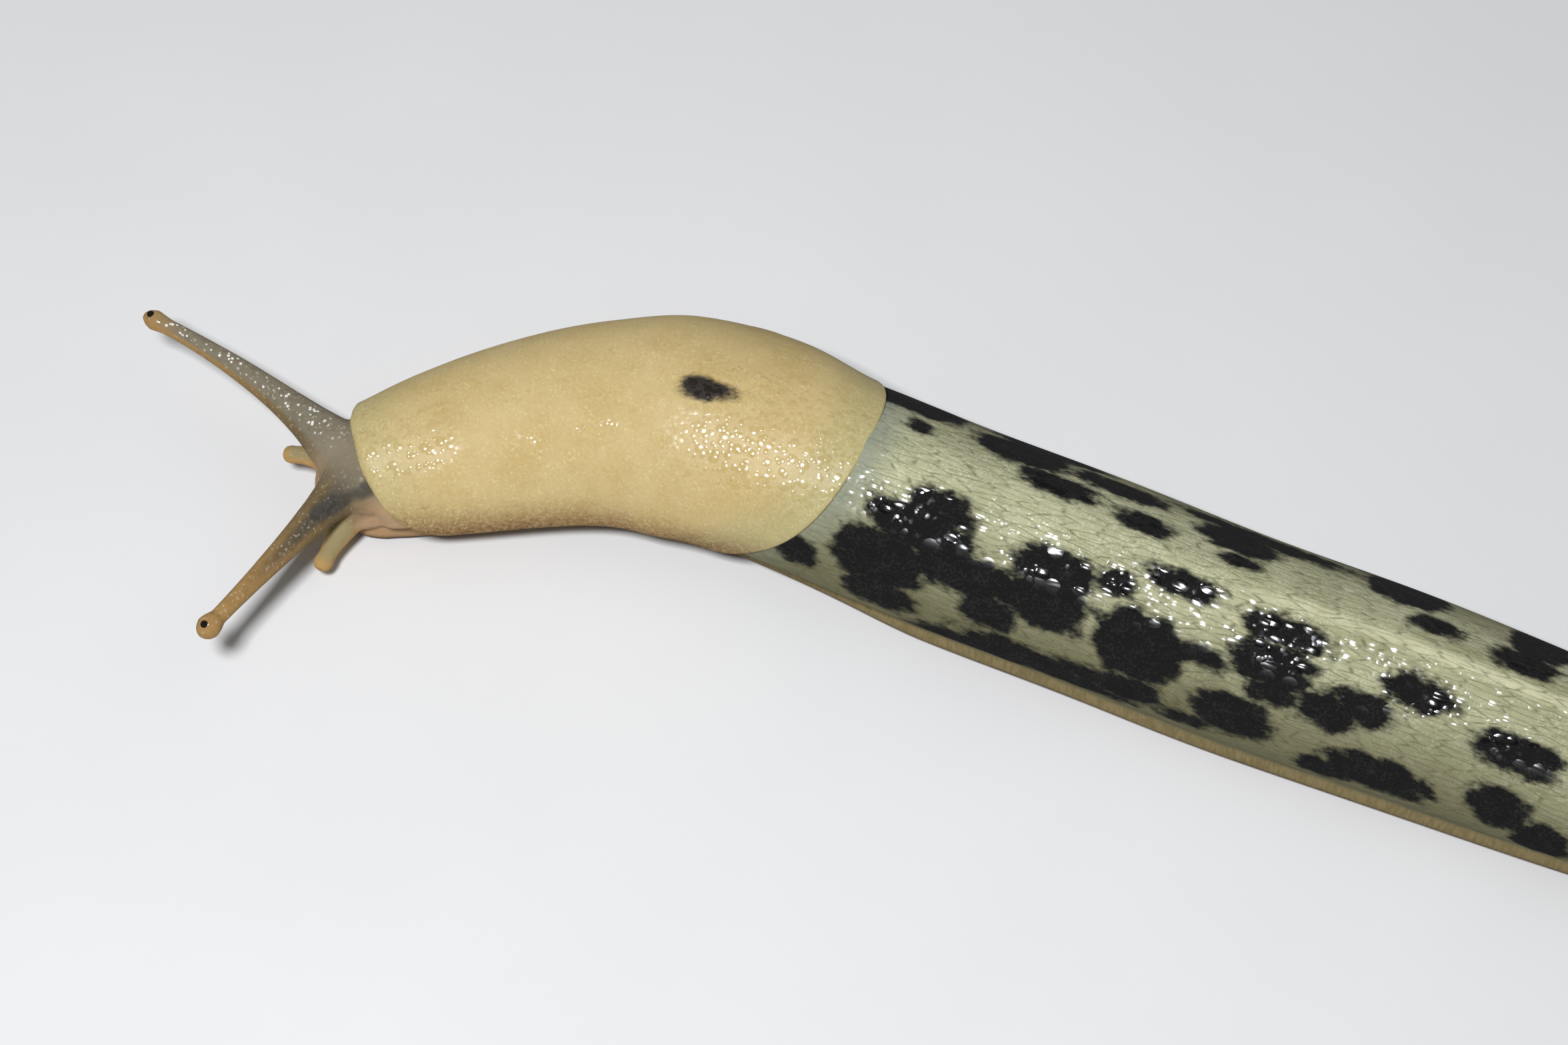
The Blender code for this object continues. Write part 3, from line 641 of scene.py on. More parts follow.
def hole_depth(s, angle):
    """How far the skin is pushed in, in mm: 0 away from the hole, and less than 0 on its swollen rim."""
    ahead, up, right = hole_measures(s, angle)
    size = np.hypot(ahead / HOLE_RADII[0], up / HOLE_RADII[1])
    pit = HOLE_DEPTH * ease((1.2 - size) / 0.5)
    slit = 0.55 * ease((1.6 - np.abs(ahead) / SLIT_HALF_WIDTH) / 1.2) * ease(-up / 0.5)
    rim = 0.16 * np.exp(-((size - 1.45) / 0.35) ** 2)
    return np.where(right, np.maximum(pit, slit) - rim, 0)

# %% Mantle
GRID_ALONG, GRID_ACROSS = 104, 80
clear_selection()
bpy.ops.mesh.primitive_grid_add(x_subdivisions=GRID_ALONG, y_subdivisions=GRID_ACROSS, size=2)
mantle = bpy.context.object
mantle.name = "mantle_fold"
bpy.ops.object.mode_set(mode="EDIT")
bpy.ops.mesh.select_all(action="DESELECT")
edit = bmesh.from_edit_mesh(mantle.data)
for face in edit.faces:
    ahead, up, right = hole_measures(*mantle_place(*face.calc_center_median().xy))
    face.select = bool(right and abs(ahead) < FINE_LENGTH and up < FINE_TOP)
bmesh.update_edit_mesh(mantle.data)
bpy.ops.mesh.subdivide(number_cuts=2)
bpy.ops.mesh.select_all(action="SELECT")
bpy.ops.mesh.duplicate()
bpy.ops.mesh.flip_normals()
bpy.ops.object.mode_set(mode="OBJECT")
p, q, _ = points_of(mantle).T
p, q = np.clip(p, -1, 1), np.clip(q, -1, 1)
inner = np.empty(len(p), bool)
mantle.data.vertices.foreach_get("select", inner)
s, angle = mantle_place(p, q)
outer_depth, inner_depth = mantle_depths(p, q)
depth = np.where(inner, inner_depth, outer_depth + hole_depth(s, angle) * ease((1 - np.abs(q)) / 0.05))
set_points(mantle, place(s, *mantle_outline(s, angle, depth)))
bpy.ops.object.mode_set(mode="EDIT")
select_open_edges(mantle)
bpy.ops.mesh.bridge_edge_loops(number_cuts=4, interpolation="SURFACE", smoothness=1.0)
end_edit()
print("mantle", len(mantle.data.polygons), "faces")

# %% [markdown]
# ## One closed skin
# The mantle grows out of the body's own skin and isn't laid on it. A Boolean union joins the two and
# drops what lies inside, so one closed surface is left. Each face keeps its material through the union,
# so the mantle can still be told from the flesh.

# %% Two materials
flesh = bpy.data.materials.new("flesh")
shield = bpy.data.materials.new("shield")
skin.data.materials.clear()
for piece in (skin, mantle):
    piece.data.materials.append(flesh)
    piece.data.materials.append(shield)
mantle.data.polygons.foreach_set("material_index", [1] * len(mantle.data.polygons))

# %% Union
CREASE_ANGLE = 42
apply_modifier(skin, "BOOLEAN", operation="UNION", solver="MANIFOLD", object=mantle)
bpy.data.objects.remove(mantle)
print("skin", len(skin.data.polygons), "faces")
activate(skin)
bpy.ops.object.shade_smooth_by_angle(angle=math.radians(CREASE_ANGLE))

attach(skin, "root")
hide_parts(*[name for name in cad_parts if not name.startswith("eye")])

# %% [markdown]
# ## Where every point lies
# Markings on an animal follow its body, not the room. So every point of the skin is told how far it is
# from the snout, how far round from the crest of the back, and how high. These measures are stored as
# attributes, and nearly all the patterns are laid out in them, in millimetres.

# %% Distances along and around
OUTLINE_STEPS = 90
BODY_REACH = 155


def arc_on(outline, s, side, z, reach):
    """Distance in mm round an outline from its crest to each point, less than 0 on the left."""
    angles = reach * np.linspace(0, 1, OUTLINE_STEPS)
    across, up = outline(s[:, None], angles[None, :])
    steps = np.hypot(np.diff(across, axis=1), np.diff(up, axis=1))
    arcs = np.hstack([np.zeros((len(s), 1)), np.cumsum(steps, axis=1)])
    gap = (across - np.abs(side)[:, None]) ** 2 + (up - z[:, None]) ** 2
    row, k = np.arange(len(s)), np.clip(np.argmin(gap, axis=1), 1, OUTLINE_STEPS - 2)
    start = np.stack([across[row, k - 1], up[row, k - 1]])
    way = np.stack([across[row, k + 1], up[row, k + 1]]) - start
    share = ((np.stack([np.abs(side), z]) - start) * way).sum(axis=0) / (way * way).sum(axis=0)
    arc = arcs[row, k - 1] + np.clip(share, 0, 1) * (arcs[row, k + 1] - arcs[row, k - 1])
    return np.sign(side) * arc


def store(name, *columns):
    """Keeps one value, or three, for every point of the skin."""
    kind, key = ("FLOAT", "value") if len(columns) == 1 else ("FLOAT_VECTOR", "vector")
    layer = skin.data.attributes.new(name, kind, "POINT")
    layer.data.foreach_set(key, np.column_stack(columns).astype(np.float32).ravel())


points = points_of(skin)
s, side = spine_place(points)
z = points[:, 2] / MM
body_arc = arc_on(body_outline, s, side, z, math.radians(BODY_REACH))
mantle_arc = arc_on(mantle_outline, s, side, z, math.radians(MANTLE_HANG))
store("lie", s, body_arc, z)
print("round from the crest", round(float(body_arc.min()), 1), "to", round(float(body_arc.max()), 1), "mm")

# %% Place on the mantle
HANG_ARC = 16.2
rim = rim_share((s - MANTLE_MIDDLE) / MANTLE_HALF, mantle_arc / HANG_ARC)
store("shield_lie", s, mantle_arc, rim)
ahead, up = s - HOLE_AT[0], z - HOLE_HEIGHT
hollow = ease((1.15 - np.hypot(ahead / HOLE_RADII[0], up / HOLE_RADII[1])) / 0.6)
slit = 0.7 * ease((1.5 - np.abs(ahead) / SLIT_HALF_WIDTH) / 1.0) * ease(-up / 0.5)
store("hole", np.where(side > 0, np.maximum(hollow, slit), 0))
print("mantle reaches", round(float(np.abs(mantle_arc[rim < 1]).max()), 1), "mm round")

# %% [markdown]
# ## The dark blotches
# The blotches of a spotted banana slug are its own, like a fingerprint. Each is laid down as a few
# ovals, measured on the photo, and on the hidden flank and tail they are made up in the same manner.
# A point stores how deep it lies inside the nearest oval. The material later frays that edge.

# %% Blotches
LEFT_BLOTCHES = (
    (38.8, 41.9, -11.1, -8.8), (44.6, 49.5, -12, -9.5), (43.2, 49.8, -10, -5.8), (48.5, 55, -8, -5.5),
    (44.5, 47.5, -5, -3.3), (47.3, 51.8, -3.8, -1.5), (45, 52.3, -6.1, -3.2), (49.5, 57, -7.9, -5.3),
    (55.5, 62, -7.6, -5), (53, 57, -10, -7.5), (57, 61.5, -8.5, -6.5), (55.8, 61.8, -5.8, -2.6),
    (63.2, 69.6, -9.6, -4.6), (68.5, 72.3, -6.6, -5.3), (61.8, 64.8, -4.1, -2.5), (65.3, 70.3, -2.4, -0.8),
    (50.4, 59.5, -13.9, -11.7), (56, 66, -13.3, -11.3), (54, 62.5, -12.2, -10.5), (60.5, 69, -11.8, -10.2),
    (65, 69, -11.7, -9.5), (69.5, 72.3, -12, -10.8), (71.3, 76.8, -11, -7.8), (74.5, 78, -7.5, -5.8),
    (72.8, 78.5, -6.3, -3.3), (73, 78.8, -3.3, -1.3), (78.3, 82.5, -7.9, -5.4), (80.6, 84.9, -6.6, -4.5),
    (83.8, 88.5, -4.3, -2), (79.3, 83, -12.5, -10.3), (81.3, 89, -11.5, -8.7), (91, 97, -6, -3.4),
    (91.8, 96, -10.3, -7.5), (95.5, 99.5, -12.6, -8.8),
)
RIGHT_BLOTCHES = (
    (40.4, 47.8, 5, 9), (44.6, 46.3, 2.8, 4), (49.4, 56.6, 3.7, 7.2), (50.5, 58.5, 6.8, 9.3),
    (53.9, 59.3, 1.6, 3.9), (57.3, 63.8, 4.4, 6.8), (61.3, 65.3, 1.2, 3.2), (67, 73, 3.1, 6.4),
    (69.4, 72, 1.5, 2.8), (65.5, 77.8, 5.8, 8), (79.7, 85.6, 4.5, 9.5), (83.8, 87.3, 2, 4),
    (89.8, 94.5, 1.4, 4), (90.5, 95, 3.6, 9.5),
)
UNSEEN_BLOTCHES = (
    (39, 44, 10.2, 12.2), (46, 54, 10.6, 13.4), (52.5, 57, 9.2, 11), (58.5, 66.5, 11, 13.6),
    (63, 70, 9, 11), (72, 79, 11.2, 13.7), (75.5, 80.5, 8.8, 10.6), (84, 91, 10.6, 13.2),
    (95, 101, 10.2, 12.6), (98.5, 105, 2.2, 5.2), (100, 106.5, 6.5, 9.6), (107.5, 113, 3.6, 6.6),
    (109.5, 116, 7.8, 10.6), (115.5, 120, 1.5, 3.7), (118.5, 125.5, 4.6, 7.4), (126.5, 132, 1.6, 3.9),
    (133, 138, 2.6, 4.2), (101, 107, -6.5, -3.2), (103, 110, -11, -8.2), (109.5, 114, -4.2, -1.8),
    (112, 118.5, -8.6, -5.8), (117.5, 122, -4.6, -2.2), (121, 127, -7, -4.4), (126, 130, -2.8, -1.2),
    (130, 136, -4.6, -2.6), (138, 142, -2.4, -1),
)
MANTLE_SPOT = ((28.4, 31, -1.75, -0.1), (29.2, 32, -1.4, -0.4))
OVAL_POWER = 2.3
FAR_OUTSIDE = -3.0


def depth_in(ovals, s, arc):
    """How far inside the nearest oval a point lies, in mm; less than 0 outside."""
    deepest = np.full(len(s), FAR_OUTSIDE)
    for first, last, low, high in ovals:
        half, across = (last - first) / 2, (high - low) / 2
        ahead, aside = np.abs((s - first) / half - 1), np.abs((arc - low) / across - 1)
        away = (ahead**OVAL_POWER + aside**OVAL_POWER) ** (1 / OVAL_POWER)
        deepest = np.maximum(deepest, (1 - away) * min(half, across))
    return deepest


store("blotch", depth_in(LEFT_BLOTCHES + RIGHT_BLOTCHES + UNSEEN_BLOTCHES, s, body_arc))
store("spot", depth_in(MANTLE_SPOT, s, mantle_arc))
print("blotches", len(LEFT_BLOTCHES + RIGHT_BLOTCHES), "measured,", len(UNSEEN_BLOTCHES), "made up")

# %% [markdown]
# ## Places on the tentacles
# A dark muscle runs inside each upper tentacle and shines through its thin skin. The near one also shows
# through the head, where it runs back from the tentacle's root. So a point stores how far up a tentacle
# it lies, how much it faces up there, and whether that near muscle lies under it.

# %% Tentacle places
outwards = place(3, -1, 0) - place(3, 0, 0)
FACING = {"left": 0.87 * np.array((0, 0, 1)) + 0.5 * outwards / MM, "right": np.array((0, 0, 1))}
for level in ("upper", "lower"):
    share, dorsal, weight = np.zeros((3, len(points)))
    for arm_side in ("left", "right"):
        distance, gap, radius, way = arm_place(points, (level, arm_side))
        part, up = distance / ARMS[level, arm_side]["length"], way @ FACING[arm_side]
        here = ease((1.9 - gap / np.maximum(radius, 0.4 * MM)) / 0.6) * ease(part / 0.22)
        closer = here > weight
        share[closer], dorsal[closer], weight[closer] = part[closer], up[closer], here[closer]
    store(level + "_arm", share, dorsal, weight)
    print(level, "tentacles cover", int((weight > 0.5).sum()), "points")

# %% Muscle under the skin
MUSCLE_START = (5.2, -2.7, 7.2)
MUSCLE_END = 4.6
MUSCLE_LIFT, MUSCLE_SAG = 1.2, 0.35
MUSCLE_RADIUS = 0.9
MUSCLE_POINTS = 40
near_line = arm_lines["upper", "left"]
far_end = near_line[round(MUSCLE_END / ARM_STEP)] + MUSCLE_LIFT * MM * FACING["left"]
muscle = np.linspace(place(*MUSCLE_START), far_end, MUSCLE_POINTS)
muscle[:, 2] -= MUSCLE_SAG * MM * np.sin(np.linspace(0, math.pi, MUSCLE_POINTS))
_, gap = nearest_on_line(points, muscle)
store("muscle", ease((MUSCLE_RADIUS - gap / MM) / 0.5))
print("muscle seen at", int((gap < MUSCLE_RADIUS * MM).sum()), "points")

# %% [markdown]
# ## Building materials from small pieces
# A material is a graph. One helper adds a node and fills its inputs, with numbers or with the outputs
# of other nodes, and the rest are short names for common nodes. An output knows its graph, so a new
# node joins the graph of whatever feeds it.

# %% Node helpers
NODE_SPACING = (180, -220)
NODES_IN_ROW = 24


def srgb(red, green, blue):
    """A colour as seen on a screen, 0 to 255, as the linear values that a material takes."""
    parts = np.array((red, green, blue)) / 255
    linear = np.where(parts > 0.04045, ((parts + 0.055) / 1.055) ** 2.4, parts / 12.92)
    return (*linear.tolist(), 1)


def is_output(value):
    return isinstance(value, bpy.types.NodeSocket)


def feed(output, socket):
    """Links an output to an input of the same graph."""
    output.id_data.links.new(output, socket)


def add_node(kind, sockets, tree=None, **settings):
    """A node with its settings, and its inputs given as values or as other nodes' outputs."""
    tree = tree or next(value.id_data for value in sockets.values() if is_output(value))
    row, column = divmod(len(tree.nodes), NODES_IN_ROW)
    node = tree.nodes.new("ShaderNode" + kind)
    node.location = (NODE_SPACING[0] * column, NODE_SPACING[1] * row)
    for key, value in settings.items():
        setattr(node, key, value)
    for key, value in sockets.items():
        if is_output(value):
            feed(value, node.inputs[key])
        else:
            node.inputs[key].default_value = value
    return node


def compute(operation, a, b=0.0, clamp=False):
    return add_node("Math", {0: a, 1: b}, operation=operation, use_clamp=clamp).outputs[0]


def folded(operation):
    """A helper that joins two or more values by one operation, from left to right."""
    return lambda *values: reduce(lambda a, b: compute(operation, a, b), values)


times, plus, minus, largest = map(folded, ("MULTIPLY", "ADD", "SUBTRACT", "MAXIMUM"))


def rise(value, low, high, to_low=0.0, to_high=1.0):
    """A value eased from to_low at low to to_high at high."""
    sockets = {"Value": value, "From Min": low, "From Max": high, "To Min": to_low, "To Max": to_high}
    return add_node("MapRange", sockets, interpolation_type="SMOOTHSTEP").outputs[0]


def between(share, a, b):
    return add_node("Mix", {0: share, 2: a, 3: b}).outputs[0]


def mix(share, a, b):
    """A colour between two, or the second laid over the first by a mask. A colour can be three numbers."""
    a, b = (colour if is_output(colour) else srgb(*colour) for colour in (a, b))
    return add_node("Mix", {0: share, 6: a, 7: b}, data_type="RGBA").outputs[2]


def glaze(colour, *layers):
    """Lays colours over a first one, each by its mask."""
    for mask, layer in layers:
        colour = mix(mask, colour, layer)
    return colour


def stretch(vector, *factors):
    return add_node("VectorMath", {0: vector, 1: factors}, operation="MULTIPLY").outputs[0]


def parts_of(vector):
    return add_node("SeparateXYZ", {0: vector}).outputs


def noise(vector, scale=1.0, detail=2.0, roughness=0.5):
    sockets = {"Vector": vector, "Scale": scale, "Detail": detail, "Roughness": roughness}
    return add_node("TexNoise", sockets).outputs["Fac"]


def new_group(name, inputs, outputs):
    """A node group with named inputs and outputs, each a Float, a Vector or a Color."""
    group = bpy.data.node_groups.new(name, "ShaderNodeTree")
    for in_out, sockets in (("INPUT", inputs), ("OUTPUT", outputs)):
        for label, kind in sockets.items():
            group.interface.new_socket(label, in_out=in_out, socket_type="NodeSocket" + kind)
    return group, group.nodes.new("NodeGroupInput").outputs, group.nodes.new("NodeGroupOutput").inputs


def use_group(group, **sockets):
    return add_node("Group", sockets, node_tree=group).outputs

# %% [markdown]
# ## Frayed pigment
# Pigment lies in the skin between its furrows, so a blotch ends in fingers that run along the body.
# Noise stretched along the body is added to the stored depth, and a narrow ramp turns the sum into
# skin or blotch. Finer noise makes the last tenth of a millimetre grainy.

# %% Pigment group
sockets = {"Depth": "Float", "Lie": "Vector", "Fray": "Float"}
pigment, into, out = new_group("pigment", sockets, {"Mask": "Float"})
fingers = noise(stretch(into["Lie"], 0.7, 1.1, 0))
grains = noise(stretch(into["Lie"], 2.2, 5.0, 0))
frayed = times(minus(fingers, 0.5), into["Fray"])
grainy = times(minus(grains, 0.5), 0.5)
edge = plus(into["Depth"], 0.18, plus(frayed, grainy))
feed(rise(edge, -0.36, 0.32), out["Mask"])
print("pigment group", len(pigment.nodes), "nodes")

# %% [markdown]
# ## Wet domes
# Fresh slime swells over every small wart of the skin, and each swelling mirrors the flash as one
# bright point. Cells of a Voronoi pattern, rounded to domes, give such swellings. The domes are real
# heights in millimetres that a Bump turns into slopes, so the points of light come from the lamp. The
# skin between them is duller, and there the lamp leaves no more than a soft veil.

# %% Wet domes group
DOME_SHARE = 0.42
sockets = {"Vector": "Vector", "Size": "Float", "Slope": "Float"}
domes, into, out = new_group("wet_domes", sockets, {"Height": "Float", "Mask": "Float"})
scale = compute("DIVIDE", 1.0, into["Size"])
cell = add_node("TexVoronoi", {"Vector": into["Vector"], "Scale": scale}).outputs
reach = compute("DIVIDE", cell["Distance"], DOME_SHARE)
inside = compute("SUBTRACT", 1.0, times(reach, reach), clamp=True)
luck = plus(0.5, times(parts_of(cell["Color"])[0], 0.8))
steep = times(into["Slope"], into["Size"], DOME_SHARE / 2, luck)
feed(times(inside, steep), out["Height"])
feed(rise(inside, 0.0, 0.1), out["Mask"])
print("wet domes group", len(domes.nodes), "nodes")

# %% [markdown]
# ## Glitter and furrows
# Between the blotches the skin is full of pale grains of lime. On the animal they lie closer together on
# the ridges than in the furrows; here they gather in patches of noise. The furrows themselves run along
# the body, less than a millimetre apart, and join now and then. Long cells of a second Voronoi pattern
# have just such borders.

# %% Glitter group
glitter, into, out = new_group("glitter", {"Vector": "Vector", "Amount": "Float"}, {"Mask": "Float"})
fine = noise(into["Vector"], 5.2, 1.5, 0.6)
patches = noise(into["Vector"], 0.9)
threshold = minus(0.78, times(patches, into["Amount"], 0.5))
feed(compute("DIVIDE", minus(fine, threshold), 0.1, clamp=True), out["Mask"])

# %% Furrows group
furrows, into, out = new_group("furrows", {"Lie": "Vector"}, {"Line": "Float", "Ridge": "Float"})
wander = noise(stretch(into["Lie"], 0.22, 0.5, 0))
aside = add_node("CombineXYZ", {"Y": times(wander, 1.2)}).outputs[0]
moved = add_node("VectorMath", {0: stretch(into["Lie"], 0.36, 2.0, 0), 1: aside}).outputs[0]
kind = {"voronoi_dimensions": "2D", "feature": "DISTANCE_TO_EDGE"}
border = add_node("TexVoronoi", {"Vector": moved, "Scale": 1.0}, **kind).outputs["Distance"]
streaks = noise(stretch(into["Lie"], 0.7, 4.5, 0))
line = times(rise(border, 0.12, 0.0), rise(streaks, 0.35, 0.6, 0.2, 1.0))
feed(largest(line, rise(streaks, 0.5, 0.3, 0.0, 0.5)), out["Line"])
feed(rise(border, 0.0, 0.35), out["Ridge"])
print("glitter and furrows", len(glitter.nodes), len(furrows.nodes), "nodes")

# %% [markdown]
# ## The flesh
# A spotted banana slug is pale olive, and grey-green where the mantle has just slid off it. Its keel is
# yellowish, its foot fringe tan, and its head and tentacles are grey-brown and let light through. Some
# layers are painted shade and highlight: the flanks are painted darker towards the foot, the keel's pale
# line is partly a painted highlight with painted shade beside it, and the fringe is painted darker near
# the ground. Each colour is laid over the one before by a mask, as a painter glazes.

# %% Back and flanks
SLIME_ROUGHNESS = 0.15
LIVING = {"IOR": 1.5, "Subsurface Scale": 0.5 * MM}


def start_material(material, constants):
    """Sets a surface's constants, and gives the material's graph and the surface."""
    material.use_nodes = True
    surface = material.node_tree.nodes["Principled BSDF"]
    for name, value in constants.items():
        surface.inputs[name].default_value = value
    return material.node_tree, surface


def attribute(name, output="Vector"):
    """A stored value, in the graph that is being built."""
    return add_node("Attribute", {}, tree, attribute_name=name).outputs[output]


def room_in_mm():
    """A point's place in the room, for patterns that needn't follow the body."""
    return stretch(add_node("TexCoord", {}, tree).outputs["Object"], 1000, 1000, 1000)


glow = {"Subsurface Weight": 0.3, "Subsurface Radius": (1.0, 0.7, 0.35)}
tree, surface = start_material(flesh, LIVING | glow)
lie, in_mm = attribute("lie"), room_in_mm()
along, around, height = parts_of(lie)
off_crest = compute("ABSOLUTE", around)
furrow = use_group(furrows, Lie=lie)
mottle = noise(stretch(lie, 0.15, 0.4, 0), detail=3)
specks = use_group(glitter, Vector=in_mm, Amount=0.95)["Mask"]
far_back = rise(along, 62, 88)
colour = glaze(
    mix(rise(mottle, 0.3, 0.7), (172, 172, 136), (190, 190, 153)),
    (times(specks, 0.42), (224, 223, 192)),
    # Painted shade: the flanks turn a darker olive the farther they lie round from the crest.
    (rise(off_crest, 0.5, 11.5, 0.0, 0.88), (94, 90, 58)),
    # Painted shade in a band on each side of the keel, towards the tail.
    (times(rise(off_crest, 0.3, 0.9), rise(off_crest, 3.2, 1.4), far_back, 0.35), (138, 134, 98)),
    # The keel's pale line is partly its own yellowish colour and partly a painted highlight along the ridge.
    (times(rise(off_crest, 0.9, 0.15), far_back, 0.7), (212, 210, 172)),
    (times(furrow["Line"], 0.65), (88, 86, 56)),
)

# %% Grey skin behind the mantle
behind = parts_of(attribute("shield_lie"))[2]
grey = times(rise(behind, 1.17, 1.0), rise(along, 24, 30), rise(off_crest, 9, 3, 0.35, 0.78))
colour = mix(grey, colour, (140, 146, 130))

# %% Blotches on the flesh
blotch = use_group(pigment, Depth=attribute("blotch", "Fac"), Lie=lie, Fray=1.4)["Mask"]
ink = mix(times(furrow["Line"], 0.5), (6, 6, 6), (20, 19, 17))
colour = mix(blotch, colour, mix(times(specks, 0.08), ink, (100, 98, 86)))

# %% Foot fringe and sole
stripes = noise(add_node("CombineXYZ", {"X": times(along, 4.0), "Y": height}).outputs[0])
# The fringe's tan stripes are painted darker as shade near the ground, darkest at its lowest edge, which is
# partly its own reddish brown.
fringe_and_shade = glaze(
    mix(rise(stripes, 0.35, 0.65), (118, 104, 68), (132, 118, 80)),
    (rise(along, 14, 9), (168, 136, 98)),
    (rise(height, 1.2, 0.4), (88, 60, 38)),
)
sole = mix(rise(mottle, 0.3, 0.7), (150, 140, 108), (172, 164, 132))
colour = glaze(colour, (rise(height, 2.3, 1.6), fringe_and_shade), (rise(height, 0.1, 0.02), sole))

# %% [markdown]
# ## Head and tentacles
# The head's skin is thin. Dark muscle shows through the top of each upper tentacle as a grey streak,
# and the flesh at its sides glows amber. The streak is a mask of two stored values: how far up the
# tentacle a point lies, and how much it faces up. Pale specks are dotted over it. Near-white dots along
# the top of the upper tentacles, most of them on the far one, are painted highlights for the flash's
# glints, and the far tentacle's core is painted lighter than the near one's, as painted light.

# %% Head colours
head_mask = rise(along, 19, 13)
thin = mix(rise(height, 7.2, 4.6), (138, 127, 104), (188, 154, 116))
thin = mix(rise(mottle, 0.35, 0.75, 0.0, 0.3), thin, (112, 106, 90))
colour = mix(times(head_mask, rise(height, 1.4, 2.2)), colour, thin)

# %% Tentacle colours
upper_share, upper_dorsal, upper_weight = parts_of(attribute("upper_arm"))
lower_share, lower_dorsal, lower_weight = parts_of(attribute("lower_arm"))
on_right = rise(around, -0.3, 0.3)
sides = mix(rise(upper_share, 0.1, 0.9), (110, 94, 62), (162, 128, 76))
# Painted light: the far tentacle's core is lighter than the near one's, though both hold the same dark
# muscle.
core = mix(on_right, (64, 62, 56), (126, 118, 98))
streak = compute("DIVIDE", minus(upper_dorsal, between(on_right, 0.7, 0.5)), 0.22, clamp=True)
reach = between(on_right, rise(upper_share, 0.85, 0.3), rise(upper_share, 1.0, 0.8))
feeler = mix(rise(lower_dorsal, 0.2, 0.9), (188, 148, 88), (152, 138, 98))
pale_dots = rise(noise(in_mm, 4.0, 1), 0.64, 0.7, 0.0, 0.45)
# Painted highlights: near-white dots along the top of the upper tentacles, most on the far one, stand for the
# flash's glints.
cell = add_node("TexVoronoi", {"Vector": in_mm, "Scale": 2.6}).outputs
painted_glint_dots = times(rise(cell["Distance"], 0.36, 0.24), rise(parts_of(cell["Color"])[0], 0.3, 0.4))
painted_glint_dots = times(painted_glint_dots, upper_weight, rise(upper_dorsal, 0.8, 0.92), rise(on_right, 0, 1, 0.12, 0.9))
colour = glaze(
    colour,
    (upper_weight, mix(times(streak, reach), sides, core)),
    (lower_weight, mix(rise(lower_share, 0.7, 0.97), feeler, (180, 144, 86))),
    (times(pale_dots, upper_weight), (190, 184, 160)),
    (painted_glint_dots, (240, 238, 228)),
    (times(attribute("muscle", "Fac"), 0.8), (66, 64, 58)),
)
feed(colour, surface.inputs["Base Color"])

# %% Relief of the flesh
LUMP_HEIGHT = 0.14
RIDGE_HEIGHT = 0.012
DRY_ROUGHNESS = 1.0


def relieve(height, wet, dry_roughness):
    """Turns a height in mm into a slope, and gives the skin the gloss of slime where it is wet."""
    height = plus(height, times(noise(in_mm, 0.3, 1), LUMP_HEIGHT))
    bump = add_node("Bump", {"Strength": 1.0, "Distance": MM, "Height": height})
    feed(bump.outputs[0], surface.inputs["Normal"])
    feed(between(wet, dry_roughness, SLIME_ROUGHNESS), surface.inputs["Roughness"])


large = use_group(domes, Vector=stretch(lie, 0.75, 1.05, 0), Size=1.15, Slope=0.26)
small = use_group(domes, Vector=in_mm, Size=0.62, Slope=0.22)
body_relief = plus(largest(large["Height"], small["Height"]), times(furrow["Ridge"], RIDGE_HEIGHT))
is_thin = largest(head_mask, upper_weight, lower_weight)
few = rise(noise(in_mm, 0.45), 0.47, 0.58)
lit_part = times(rise(around, -6.0, -4.6), rise(around, 5, 2))
back_wet = times(largest(large["Mask"], times(small["Mask"], few)), lit_part)
on_arm = times(upper_weight, rise(upper_dorsal, 0.5, 0.75))
head_wet = times(small["Mask"], largest(on_arm, times(few, 0.6)))
relief = between(is_thin, body_relief, small["Height"])
relieve(relief, between(is_thin, back_wet, head_wet), DRY_ROUGHNESS)
print("flesh", len(tree.nodes), "nodes")

# %% [markdown]
# ## The shield
# The mantle of this slug is a warmer yellow-tan than its body and almost free of blotches. It pales to
# green at its front and rear edges, and turns orange-brown low on its flanks, darker the lower it lies.

# %% Shield colours
glow = {"Subsurface Weight": 0.35, "Subsurface Radius": (1.0, 0.6, 0.25)}
tree, surface = start_material(shield, LIVING | glow)
lie, in_mm = attribute("shield_lie"), room_in_mm()
along, around, rim = parts_of(lie)
mottle = noise(stretch(lie, 0.22, 0.22, 0), 1.0, 4, 0.6)
grain = noise(in_mm, 3.2, 3, 0.7)
specks = use_group(glitter, Vector=in_mm, Amount=0.75)["Mask"]
spot = use_group(pigment, Depth=attribute("spot", "Fac"), Lie=lie, Fray=0.7)["Mask"]
colour = glaze(
    mix(rise(mottle, 0.3, 0.7), (192, 167, 109), (202, 179, 126)),
    (rise(along, 9.5, 4.5, 0.0, 0.85), (187, 171, 118)),
    (times(rise(rim, 0.72, 1.0), rise(along, 30, 36), 0.8), (176, 168, 120)),
    (rise(parts_of(attribute("lie"))[2], 7.6, 3.2, 0.0, 0.97), (122, 74, 26)),
    (rise(grain, 0.35, 0.7, 0.0, 0.4), (214, 196, 136)),
    (times(specks, 0.4), (224, 212, 158)),
    (spot, (38, 32, 25)),
    # Painted shade: the breathing hole and its slit are coloured dark brown.
    (attribute("hole", "Fac"), (62, 40, 24)),
)
feed(colour, surface.inputs["Base Color"])

